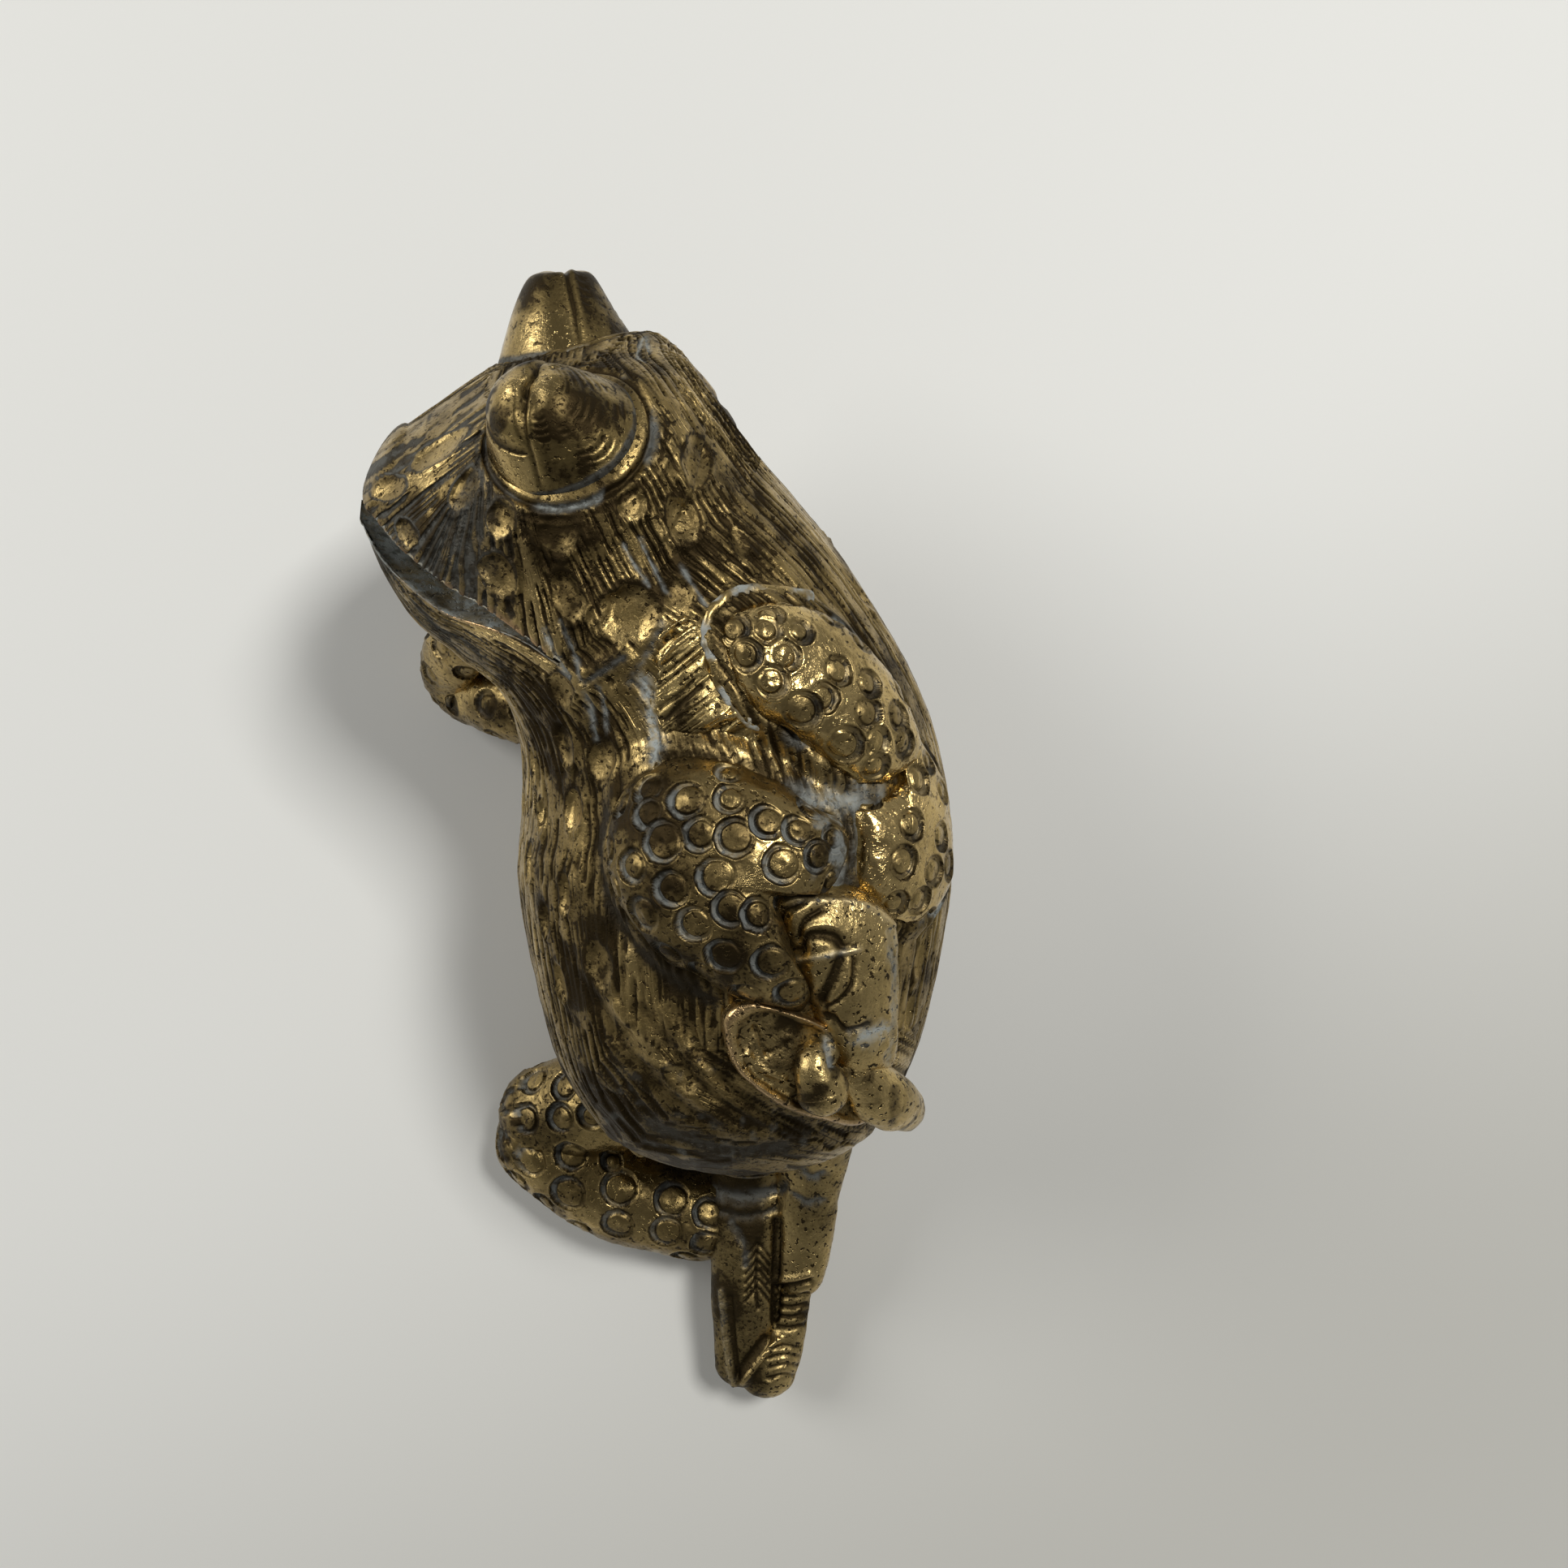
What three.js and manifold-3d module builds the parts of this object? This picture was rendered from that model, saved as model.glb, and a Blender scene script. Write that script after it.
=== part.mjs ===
import * as THREE from 'three';
import { mergeVertices } from 'three/addons/utils/BufferGeometryUtils.js';
import Module from 'manifold-3d';

// A cast brass toad lying on its right flank, brazed together from separate castings.
// Millimetres. Z is up from the surface it lies on, the head is towards +Y, the belly
// towards -X, and the left flank is uppermost.

const wasm = await Module();
wasm.setup();

// Driving dimensions
const JOINT_GAP = 0.3; // braze film between two castings

// Body sections from rump to snout: place of the spine, half depth from back to belly, half
// width from side to side, and in degrees the heading of the section from +Y towards -X, its
// rise from the level, and the roll that turns the back towards the upper side
const BODY = [
  { x: -4.6, y: -54.5, z: 24, depth: 4, width: 4, heading: 0, rise: 3, roll: 0 },
  { x: -5.4, y: -48.5, z: 25, depth: 13.5, width: 13.5, heading: 0, rise: 4, roll: 0 },
  { x: -6, y: -36, z: 26.5, depth: 22, width: 22.5, heading: 0, rise: 4, roll: 0 },
  { x: -6, y: -22.5, z: 26.9, depth: 25.8, width: 27, heading: 1, rise: 4, roll: 0 },
  { x: -6.2, y: -8.7, z: 27.3, depth: 27.6, width: 28.6, heading: 5, rise: 5, roll: 0 },
  { x: -7.6, y: 4, z: 29, depth: 26.2, width: 27.4, heading: 14, rise: 9, roll: 0 },
  { x: -12.2, y: 16, z: 33.5, depth: 23, width: 24.5, heading: 27, rise: 14, roll: 4 },
  { x: -19, y: 26, z: 37.5, depth: 21, width: 23, heading: 42, rise: 17, roll: 14 },
  { x: -26.8, y: 33.9, z: 39.5, depth: 22.4, width: 21.5, heading: 55, rise: 18, roll: 26 },
  { x: -36.2, y: 35.4, z: 40.5, depth: 17.4, width: 18.5, heading: 63, rise: 19, roll: 31 },
  { x: -43, y: 36.2, z: 41.6, depth: 11.4, width: 13.8, heading: 66, rise: 19, roll: 31 },
  { x: -47.2, y: 36.8, z: 42.4, depth: 6, width: 8.4, heading: 66, rise: 19, roll: 31 },
];
const RUMP_CAP = 2; // rounding beyond the first section
const SNOUT_CAP = 2; // rounding beyond the last section
const NECK_STATION = 7; // where the head is brazed to the torso

// Head: which way it faces, and the mouth, its depth below the spine and how it stands open
const HEAD_FORWARD = new THREE.Vector3(-0.91, 0.31, 0.28);
const HEAD_UP = new THREE.Vector3(0.42, 0.75, 0.53);
const MOUTH_STATION = 8;
const MOUTH_DROP = 6;
const MOUTH_CORNER_GAP = 0.8;
const MOUTH_OPENING = 5; // degrees

// Eyes: place ahead of the mouth's corner, over it and from the middle of the head, radius, and
// lean of the dome outwards. The hand is 1 on the left and -1 on the right, and the two domes
// differ in height and in their lean forwards.
const EYE_AHEAD = 5;
const EYE_RAISE = 20.3;
const EYE_APART = 12.2;
const EYE_RADIUS = 7.9;
const EYE_SEAT = 3; // how far the dome reaches into the head
const EYE_LEAN_OUT = 0.57;
const LEFT_EYE = { hand: 1, height: 7, leanForward: 1.05 };
const RIGHT_EYE = { hand: -1, height: 8.6, leanForward: 0.55 };

// Lobes on the skin: outline and middle, as stations counted from the rump and degrees round
// the body from the uppermost line towards the back, and the rise of the middle over the skin
const LEFT_UPPER_ARM = {
  outline: [
    { station: 6.15, turn: 42 },
    { station: 6.4, turn: 29 },
    { station: 6.25, turn: 17 },
    { station: 5.75, turn: 12 },
    { station: 5.25, turn: 18 },
    { station: 4.8, turn: 28 },
    { station: 4.6, turn: 42 },
    { station: 4.8, turn: 53 },
    { station: 5.3, turn: 54 },
    { station: 5.8, turn: 50 },
  ],
  middle: { station: 5.5, turn: 30 },
  rise: 5.5,
};
const LEFT_FOREARM = {
  outline: [
    { station: 4.8, turn: 54 },
    { station: 4.8, turn: 40 },
    { station: 4.55, turn: 31 },
    { station: 4.15, turn: 29 },
    { station: 3.75, turn: 31 },
    { station: 3.55, turn: 40 },
    { station: 3.5, turn: 54 },
    { station: 3.8, turn: 63 },
    { station: 4.2, turn: 62 },
    { station: 4.55, turn: 62 },
  ],
  middle: { station: 4.1, turn: 42 },
  rise: 3.6,
};
const LEFT_FOLDED_LEG = {
  outline: [
    { station: 5.25, turn: 3 },
    { station: 5.5, turn: -13 },
    { station: 5.1, turn: -26 },
    { station: 4.4, turn: -28 },
    { station: 3.6, turn: -20 },
    { station: 3.3, turn: -12 },
    { station: 3.05, turn: 0 },
    { station: 2.9, turn: 12 },
    { station: 3, turn: 20 },
    { station: 3.3, turn: 15 },
    { station: 3.8, turn: 12 },
    { station: 3.9, turn: 22 },
    { station: 4.2, turn: 28 },
    { station: 4.6, turn: 24 },
    { station: 4.95, turn: 12 },
  ],
  middle: { station: 4.1, turn: -2 },
  rise: 7.4,
};
const LOBE_SEAT = 2; // how far a lobe's edge reaches under the skin

// Limb paths on the skin: station and turn as above, height of the centre line over the skin,
// half width
const LEFT_HAND = [
  { station: 6.5, turn: 6, lift: -0.6, half: 5 },
  { station: 6.3, turn: -5, lift: -0.2, half: 6.8 },
  { station: 6, turn: -17, lift: -0.6, half: 5.4 },
];
const LEFT_INSTEP = [
  { station: 3.78, turn: 22, lift: 0.4, half: 5.6 },
  { station: 3.3, turn: 25, lift: 1.5, half: 6 },
  { station: 2.8, turn: 25, lift: 2, half: 6.2 },
  { station: 2.5, turn: 26, lift: 1.5, half: 5.8 },
];
const LEFT_WEB = [
  { station: 3, turn: 10, lift: 1.5, half: 6 },
  { station: 2.7, turn: 11, lift: 2.4, half: 7.6 },
  { station: 2.3, turn: 17, lift: 3, half: 6.6 },
];
const LEFT_INNER_TOE = [
  { station: 2.75, turn: 18, lift: 3, half: 3.4 },
  { station: 2.4, turn: 17, lift: 6.5, half: 3.2 },
];
const LEFT_OUTER_TOE = [
  { station: 2.6, turn: 30, lift: 2.6, half: 3.4 },
  { station: 2.2, turn: 41, lift: 3.2, half: 3.2 },
  { station: 1.9, turn: 55, lift: 4, half: 2.2 },
];

// Share of a limb's half width that it stands from its centre line to its face
const FOOT_FLATNESS = 0.62;
const WEB_FLATNESS = 0.32;
const HAND_FLATNESS = 0.34;

// Limbs of the lower side, as places over the surface that the toad lies on, with the reach of
// the elbow past the belly and of the toes past the rump
const ELBOW_REACH = 45.5;
const TOE_REACH = 82.2;
const WEB_SETBACK = 1.7;
const RIGHT_ARM = [
  { x: -23, y: 8, z: 15, half: 6 },
  { x: -36, y: 11, z: 11, half: 5.4 },
  { x: -ELBOW_REACH, y: 14.5, z: 4.4, half: 5 },
  { x: -44.5, y: 18.5, z: 13, half: 4.6 },
  { x: -38, y: 21, z: 20, half: 4.2 },
];
const RIGHT_THIGH = [
  { x: -12, y: -42, z: 12, half: 7.5 },
  { x: -24, y: -43.5, z: 10.5, half: 7.5 },
  { x: -33, y: -46.5, z: 6.8, half: 7.2 },
];
const RIGHT_SHIN = [
  { x: -33.5, y: -50, z: 6, half: 7.2 },
  { x: -24, y: -56.4, z: 6.4, half: 7.4 },
  { x: -12, y: -60.6, z: 5.8, half: 6.6 },
];
const RIGHT_INSTEP = [
  { x: 3, y: -50, z: 12, half: 5 },
  { x: 1.4, y: -60, z: 8, half: 5.2 },
  { x: -0.2, y: -70, z: 5.4, half: 4.8 },
  { x: -2.4, y: -TOE_REACH, z: 4, half: 4.8 },
];
const RIGHT_WEB = [
  { x: -3.5, y: -58, z: 6, half: 6 },
  { x: -5, y: -68, z: 4.2, half: 5.2 },
  { x: -6, y: WEB_SETBACK - TOE_REACH, z: 2.6, half: 4 },
];
const LIMB_FLATNESS = 0.94;

// Braze beads: half thickness, and their runs on the torso's skin
const BEAD_HALF = 1;
const BEAD_LIFT = 0.6;
const SHOULDER_BEAD = [
  { station: 6.6, turn: 34 },
  { station: 6.76, turn: 24 },
  { station: 6.6, turn: 12 },
  { station: 6.15, turn: 7 },
  { station: 5.7, turn: 8 },
  { station: 5.3, turn: 14 },
];
const HIP_BEAD = [
  { station: 2.25, turn: -108 },
  { station: 1.9, turn: -104 },
  { station: 1.4, turn: -104 },
  { station: 1, turn: -108 },
];

// Facets of the lofted forms
const BODY_SIDES = 32;
const RINGS_PER_STATION = 3;
const LIMB_SIDES = 14;
const LIMB_STEPS = 8;
const LOBE_SIDES = 36;
const LOBE_STEPS = 6;
const CAP_STEPS = 2;
const EYE_SIDES = 20;
const EYE_STEPS = 8;

// Slab under the resting surface, which trims every flat that the toad lies on
const SLAB_SPAN = 400;
const SLAB_DEPTH = 60;

// Finish
const BRASS = { color: 0xa08a4e, roughness: 0.42, metalness: 1 };
const BRAZE = { color: 0x8f8a68, roughness: 0.6, metalness: 1 };

// Closed skin through rings of equal count, with a fan to a point at each end.
// Rings run counterclockwise seen from the far end.
function skin(rings, first, last) {
  const count = rings[0].length;
  const points = [...rings.flat(), first, last];
  const firstIndex = points.length - 2;
  const lastIndex = points.length - 1;
  const lastRing = (rings.length - 1) * count;
  const faces = [];
  for (let k = 0; k < count; k += 1) {
    const next = (k + 1) % count;
    for (let row = 0; row < lastRing; row += count) {
      faces.push(row + k, row + next, row + count + next);
      faces.push(row + k, row + count + next, row + count + k);
    }
    faces.push(firstIndex, next, k);
    faces.push(lastIndex, lastRing + k, lastRing + next);
  }
  const geometry = new THREE.BufferGeometry().setFromPoints(points);
  geometry.setIndex(faces);
  return solid(geometry);
}

// Solid for cutting and joining, from a closed geometry
function solid(geometry) {
  const bare = geometry.clone();
  bare.deleteAttribute('normal');
  bare.deleteAttribute('uv');
  const merged = mergeVertices(bare, 1e-4);
  return new wasm.Manifold(new wasm.Mesh({
    numProp: 3,
    vertProperties: new Float32Array(merged.attributes.position.array),
    triVerts: new Uint32Array(merged.index.array),
  }));
}

// Smooth curve through points, evenly spaced in its parameter
function smooth(points) {
  return new THREE.CatmullRomCurve3(points, false, 'catmullrom', 0.5);
}

// Smooth run of one value through a list of rows, read at a fractional row number
function along(rows, key) {
  const curve = smooth(rows.map((row) => new THREE.Vector3(row[key], 0, 0)));
  return (row) => curve.getPoint(row / (rows.length - 1)).x;
}

const spine = smooth(BODY.map(({ x, y, z }) => new THREE.Vector3(x, y, z)));
const snoutStation = BODY.length - 1;
const bodyDepth = along(BODY, 'depth');
const bodyWidth = along(BODY, 'width');
const bodyHeading = along(BODY, 'heading');
const bodyRise = along(BODY, 'rise');
const bodyRoll = along(BODY, 'roll');

// Centre and axes of the body's section at a station: ahead towards the snout, side and back
function bodyFrame(station) {
  const centre = spine.getPoint(station / snoutStation);
  const heading = THREE.MathUtils.degToRad(bodyHeading(station));
  const rise = THREE.MathUtils.degToRad(bodyRise(station));
  const roll = THREE.MathUtils.degToRad(-bodyRoll(station));
  const ahead = new THREE.Vector3(0, 1, 0).applyEuler(new THREE.Euler(rise, 0, heading, 'ZXY'));
  const side = new THREE.Vector3(0, 0, 1).projectOnPlane(ahead).normalize();
  side.applyAxisAngle(ahead, roll);
  const back = ahead.clone().cross(side);
  return { centre, ahead, side, back };
}

// Point over the body's skin, and the skin's outward direction there
function onBody(station, turn, lift) {
  const { centre, side, back } = bodyFrame(station);
  const angle = THREE.MathUtils.degToRad(turn);
  const depth = bodyDepth(station);
  const width = bodyWidth(station);
  const place = centre.addScaledVector(back, depth * Math.sin(angle));
  place.addScaledVector(side, width * Math.cos(angle));
  const outward = back.multiplyScalar(Math.sin(angle) / depth);
  outward.addScaledVector(side, Math.cos(angle) / width).normalize();
  return { place: place.addScaledVector(outward, lift), outward };
}

// Oval ring of the body's skin at a station, moved ahead by a length
function bodyRing(station, grow, shift) {
  const { centre, ahead, side, back } = bodyFrame(station);
  centre.addScaledVector(ahead, shift);
  const ring = [];
  for (let k = 0; k < BODY_SIDES; k += 1) {
    const angle = (2 * Math.PI * k) / BODY_SIDES;
    const point = centre.clone();
    point.addScaledVector(back, (bodyDepth(station) + grow) * Math.sin(angle));
    point.addScaledVector(side, (bodyWidth(station) + grow) * Math.cos(angle));
    ring.push(point);
  }
  return { ring, centre, ahead };
}

// Length of the body between two stations, grown outwards, with flat ends unless
// they are the rump or the snout. The first ring may stand a little ahead of its station.
function bodyForm(grow, from = 0, to = snoutStation, startShift = 0) {
  const steps = Math.round((to - from) * RINGS_PER_STATION);
  const rows = [];
  for (let step = 0; step <= steps; step += 1) {
    const station = THREE.MathUtils.lerp(from, to, step / steps);
    rows.push(bodyRing(station, grow, step === 0 ? startShift : 0));
  }
  const start = rows[0];
  const end = rows[steps];
  const first = start.centre.addScaledVector(start.ahead, from === 0 ? -RUMP_CAP - grow : 0);
  const last = end.centre.addScaledVector(end.ahead, to === snoutStation ? SNOUT_CAP + grow : 0);
  return skin(rows.map(({ ring }) => ring), first, last);
}

// Limb along rows of places with half widths: rounded ends, and oval sections whose short
// way is along each row's outward direction
function limbForm(rows, flatness, grow) {
  const path = smooth(rows.map(({ place }) => place));
  const face = smooth(rows.map(({ outward }) => outward));
  const half = along(rows, 'half');
  const section = (t, shift, share) => {
    const ahead = path.getTangent(t);
    const up = face.getPoint(t).projectOnPlane(ahead).normalize();
    const across = up.clone().cross(ahead);
    const wide = half(t * (rows.length - 1));
    const thick = wide * flatness + grow;
    const middle = path.getPoint(t).addScaledVector(ahead, thick * shift);
    const ring = [];
    for (let k = 0; k < LIMB_SIDES; k += 1) {
      const angle = (2 * Math.PI * k) / LIMB_SIDES;
      const point = middle.clone().addScaledVector(across, -(wide + grow) * share * Math.cos(angle));
      ring.push(point.addScaledVector(up, -thick * share * Math.sin(angle)));
    }
    return { ring, middle };
  };
  const rings = [];
  for (let k = 1; k <= CAP_STEPS; k += 1) {
    const angle = (k / (CAP_STEPS + 1)) * (Math.PI / 2);
    rings.push(section(0, -Math.cos(angle), Math.sin(angle)).ring);
  }
  for (let k = 0; k <= LIMB_STEPS; k += 1) {
    rings.push(section(k / LIMB_STEPS, 0, 1).ring);
  }
  for (let k = CAP_STEPS; k >= 1; k -= 1) {
    const angle = (k / (CAP_STEPS + 1)) * (Math.PI / 2);
    rings.push(section(1, Math.cos(angle), Math.sin(angle)).ring);
  }
  return skin(rings, section(0, -1, 1).middle, section(1, 1, 1).middle);
}

// Lobe on the body's skin: its outline drawn in towards the middle as it rises, steep at the
// edge and flat on top, with its foot under the skin
function lobeForm({ outline, middle, rise }, grow) {
  const edge = outline.map(({ station, turn }) => new THREE.Vector3(station, turn, 0));
  const loop = new THREE.CatmullRomCurve3(edge, true, 'catmullrom', 0.5);
  const core = new THREE.Vector3(middle.station, middle.turn, 0);
  const ring = (share, lift) => {
    const height = onBody(core.x, core.y, lift).place;
    const points = [];
    for (let k = 0; k < LOBE_SIDES; k += 1) {
      const spot = loop.getPoint(k / LOBE_SIDES).lerp(core, 1 - share);
      const { place, outward } = onBody(spot.x, spot.y, lift);
      const aside = place.clone().sub(height).projectOnPlane(outward).setLength(grow);
      points.push(place.add(aside));
    }
    return points;
  };
  const rings = [ring(1, -LOBE_SEAT)];
  for (let k = 0; k < LOBE_STEPS; k += 1) {
    const angle = (k / LOBE_STEPS) * (Math.PI / 2);
    rings.push(ring(Math.cos(angle) ** (2 / 3), (rise + grow) * Math.sin(angle)));
  }
  const foot = onBody(core.x, core.y, -LOBE_SEAT).place;
  return skin(rings, foot, onBody(core.x, core.y, rise + grow).place);
}

// Rows of a limb that follows the body's skin
function skinRows(rows) {
  return rows.map((row) => ({ ...onBody(row.station, row.turn, row.lift), half: row.half }));
}

// Rows of a limb that lies on the resting surface
function floorRows(rows) {
  const outward = new THREE.Vector3(0, 0, 1);
  return rows.map(({ x, y, z, half }) => ({ place: new THREE.Vector3(x, y, z), outward, half }));
}

const headForward = HEAD_FORWARD.clone().normalize();
const headUp = HEAD_UP.clone().projectOnPlane(headForward).normalize();
const headLeft = headUp.clone().cross(headForward);
const mouthCorner = bodyFrame(MOUTH_STATION).centre.addScaledVector(headUp, -MOUTH_DROP);

// Block that fills the space on the far side of a plane, against its normal
function beyond(point, normal) {
  const geometry = new THREE.BoxGeometry(SLAB_SPAN, SLAB_SPAN, SLAB_DEPTH);
  geometry.translate(0, 0, -SLAB_DEPTH / 2);
  const up = new THREE.Vector3(0, 0, 1);
  geometry.applyQuaternion(new THREE.Quaternion().setFromUnitVectors(up, normal));
  geometry.translate(point.x, point.y, point.z);
  return solid(geometry);
}

const floor = beyond(new THREE.Vector3(), new THREE.Vector3(0, 0, 1));

// Turned dome of an eye, standing on the head
function eyeForm({ hand, height, leanForward }) {
  const profile = [new THREE.Vector2(0, -EYE_SEAT)];
  profile.push(new THREE.Vector2(EYE_RADIUS, -EYE_SEAT));
  for (let k = 0; k <= EYE_STEPS; k += 1) {
    const angle = (k / EYE_STEPS) * (Math.PI / 2);
    const radius = k === EYE_STEPS ? 0 : EYE_RADIUS * Math.cos(angle);
    profile.push(new THREE.Vector2(radius, height * Math.sin(angle)));
  }
  const axis = headUp.clone().addScaledVector(headLeft, hand * EYE_LEAN_OUT);
  axis.addScaledVector(headForward, leanForward).normalize();
  const geometry = new THREE.LatheGeometry(profile, EYE_SIDES);
  geometry.applyQuaternion(new THREE.Quaternion().setFromUnitVectors(THREE.Object3D.DEFAULT_UP, axis));
  const place = mouthCorner.clone().addScaledVector(headForward, EYE_AHEAD);
  place.addScaledVector(headUp, EYE_RAISE).addScaledVector(headLeft, hand * EYE_APART);
  geometry.translate(place.x, place.y, place.z);
  return solid(geometry);
}

const leftLegForm = (grow) => lobeForm(LEFT_FOLDED_LEG, grow);
const leftHandForm = (grow) => limbForm(skinRows(LEFT_HAND), HAND_FLATNESS, grow);
const rightArmForm = (grow) => limbForm(floorRows(RIGHT_ARM), LIMB_FLATNESS, grow);

// The right hand lies on the chest as the left one does, on the other side
function rightHandForm(grow) {
  const rows = LEFT_HAND.map((row) => ({ ...row, turn: 180 - row.turn }));
  return limbForm(skinRows(rows), HAND_FLATNESS, grow);
}

// Upper arm and forearm, cast as one
function leftArmForm(grow) {
  return lobeForm(LEFT_UPPER_ARM, grow).add(lobeForm(LEFT_FOREARM, grow));
}

// Thigh and shin of a folded leg, cast as one
function rightLegForm(grow) {
  const thigh = limbForm(floorRows(RIGHT_THIGH), LIMB_FLATNESS, grow);
  return thigh.add(limbForm(floorRows(RIGHT_SHIN), LIMB_FLATNESS, grow));
}

// Webbed feet: instep, web and toes cast as one
function leftFootForm(grow) {
  let foot = limbForm(skinRows(LEFT_INSTEP), FOOT_FLATNESS, grow);
  foot = foot.add(limbForm(skinRows(LEFT_WEB), WEB_FLATNESS, grow));
  foot = foot.add(limbForm(skinRows(LEFT_INNER_TOE), 1, grow));
  return foot.add(limbForm(skinRows(LEFT_OUTER_TOE), 1, grow));
}

function rightFootForm(grow) {
  const instep = limbForm(floorRows(RIGHT_INSTEP), LIMB_FLATNESS, grow);
  return instep.add(limbForm(floorRows(RIGHT_WEB), FOOT_FLATNESS, grow));
}

// Bead of filler along a run on the body's skin
function beadForm(run) {
  const rows = run.map((row) => ({ ...onBody(row.station, row.turn, BEAD_LIFT), half: BEAD_HALF }));
  return limbForm(rows, 1, 0);
}

// A form with the space under the resting surface and its neighbours cut away, each
// neighbour grown by the braze film
function seated(form, ...neighbours) {
  return neighbours.reduce((piece, neighbour) => piece.subtract(neighbour(JOINT_GAP)), form.subtract(floor));
}

// Torso from the rump to the neck, flat where it lies
function torso() {
  return bodyForm(0, 0, NECK_STATION).subtract(floor);
}

// Head and jaw before the mouth is cut between them
function headForm() {
  return bodyForm(0, NECK_STATION, snoutStation, JOINT_GAP);
}

// Head, down to the upper lip
function head() {
  return headForm().subtract(beyond(mouthCorner, headUp));
}

// Lower jaw, brazed to the head behind the mouth's corner and dropping from it ahead of that
function lowerJaw() {
  const opening = THREE.MathUtils.degToRad(MOUTH_OPENING);
  const seam = mouthCorner.clone().addScaledVector(headUp, -JOINT_GAP);
  const lip = mouthCorner.clone().addScaledVector(headUp, -MOUTH_CORNER_GAP);
  const downward = headUp.clone().multiplyScalar(-Math.cos(opening));
  downward.addScaledVector(headForward, -Math.sin(opening));
  const jaw = headForm().subtract(beyond(seam, headUp.clone().negate()));
  return jaw.subtract(beyond(lip, downward));
}

// Each casting, fitted to the neighbours named with it
const pieces = [
  ['torso', torso(), BRASS],
  ['head', head(), BRASS],
  ['lower_jaw', lowerJaw(), BRASS],
  ['left_eye', seated(eyeForm(LEFT_EYE), bodyForm), BRASS],
  ['right_eye', seated(eyeForm(RIGHT_EYE), bodyForm), BRASS],
  ['left_arm', seated(leftArmForm(0), bodyForm), BRASS],
  ['left_leg', seated(leftLegForm(0), bodyForm, leftArmForm), BRASS],
  ['left_foot', seated(leftFootForm(0), bodyForm, leftArmForm, leftLegForm), BRASS],
  ['left_hand', seated(leftHandForm(0), bodyForm, leftArmForm, leftLegForm), BRASS],
  ['right_arm', seated(rightArmForm(0), bodyForm), BRASS],
  ['right_hand', seated(rightHandForm(0), bodyForm, rightArmForm), BRASS],
  ['right_leg', seated(rightLegForm(0), bodyForm), BRASS],
  ['right_foot', seated(rightFootForm(0), bodyForm, rightLegForm, leftFootForm), BRASS],
  ['left_shoulder_bead', seated(beadForm(SHOULDER_BEAD), bodyForm, leftArmForm, leftHandForm), BRAZE],
  ['right_hip_bead', seated(beadForm(HIP_BEAD), bodyForm, rightLegForm), BRAZE],
];

// Mesh of one casting with a finish of its own
function casting(name, shape, finish) {
  const { vertProperties, triVerts } = shape.getMesh();
  const geometry = new THREE.BufferGeometry();
  geometry.setAttribute('position', new THREE.BufferAttribute(vertProperties, 3));
  geometry.setIndex(new THREE.BufferAttribute(triVerts, 1));
  geometry.computeVertexNormals();
  const mesh = new THREE.Mesh(geometry, new THREE.MeshStandardMaterial(finish));
  mesh.name = name;
  return mesh;
}

const toad = new THREE.Group();
pieces.forEach(([name, shape, finish]) => toad.add(casting(name, shape, finish)));

// The origin is under the middle of the whole figure
const middle = new THREE.Box3().setFromObject(toad).getCenter(new THREE.Vector3());
toad.position.set(-middle.x, -middle.y, 0);

export default toad;
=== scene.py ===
"""Looks of a cast brass toad ornament that lies on its right flank on a pale table."""

import logging
from dataclasses import dataclass, field
from enum import Enum, IntEnum
from functools import lru_cache
from typing import NamedTuple, Sequence

import bpy
import numpy as np
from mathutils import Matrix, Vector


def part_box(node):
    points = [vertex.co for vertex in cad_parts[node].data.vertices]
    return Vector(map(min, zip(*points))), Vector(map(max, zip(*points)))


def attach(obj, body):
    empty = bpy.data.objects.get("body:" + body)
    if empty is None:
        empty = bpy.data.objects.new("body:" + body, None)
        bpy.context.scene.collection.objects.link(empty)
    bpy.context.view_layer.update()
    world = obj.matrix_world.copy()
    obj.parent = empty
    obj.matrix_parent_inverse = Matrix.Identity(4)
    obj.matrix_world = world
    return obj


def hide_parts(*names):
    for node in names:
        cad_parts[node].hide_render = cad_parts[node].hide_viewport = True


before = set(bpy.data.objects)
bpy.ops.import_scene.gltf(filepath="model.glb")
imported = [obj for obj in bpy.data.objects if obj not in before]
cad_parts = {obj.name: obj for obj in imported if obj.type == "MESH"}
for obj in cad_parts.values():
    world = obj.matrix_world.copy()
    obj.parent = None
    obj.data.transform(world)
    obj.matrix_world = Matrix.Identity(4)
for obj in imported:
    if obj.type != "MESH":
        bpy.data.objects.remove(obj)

LOG = logging.getLogger("toad")
Array = np.ndarray
Socket = bpy.types.NodeSocket
MM = 0.001

# Rounded ends of the body in millimetres, their rows, and the joint at the neck as a station
RUMP_CAP = 2.0
SNOUT_CAP = 2.0
CAP_ROWS = 9
LIMB_CAP_ROWS = 12
NECK_STATION = 7.0

# Rump: station up to which its lines run across the body, and where and how far it is tucked in
RUMP_STATION = 2.6
RUMP_TUCK_FROM = -44.0
RUMP_TUCK = 0.55

# Turns in degrees: the torso's seam, and how far round the camera sees the skin
FIRST_TURN = -135.0
LAST_TURN = 225.0
SEEN_TURN = 110.0

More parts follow.
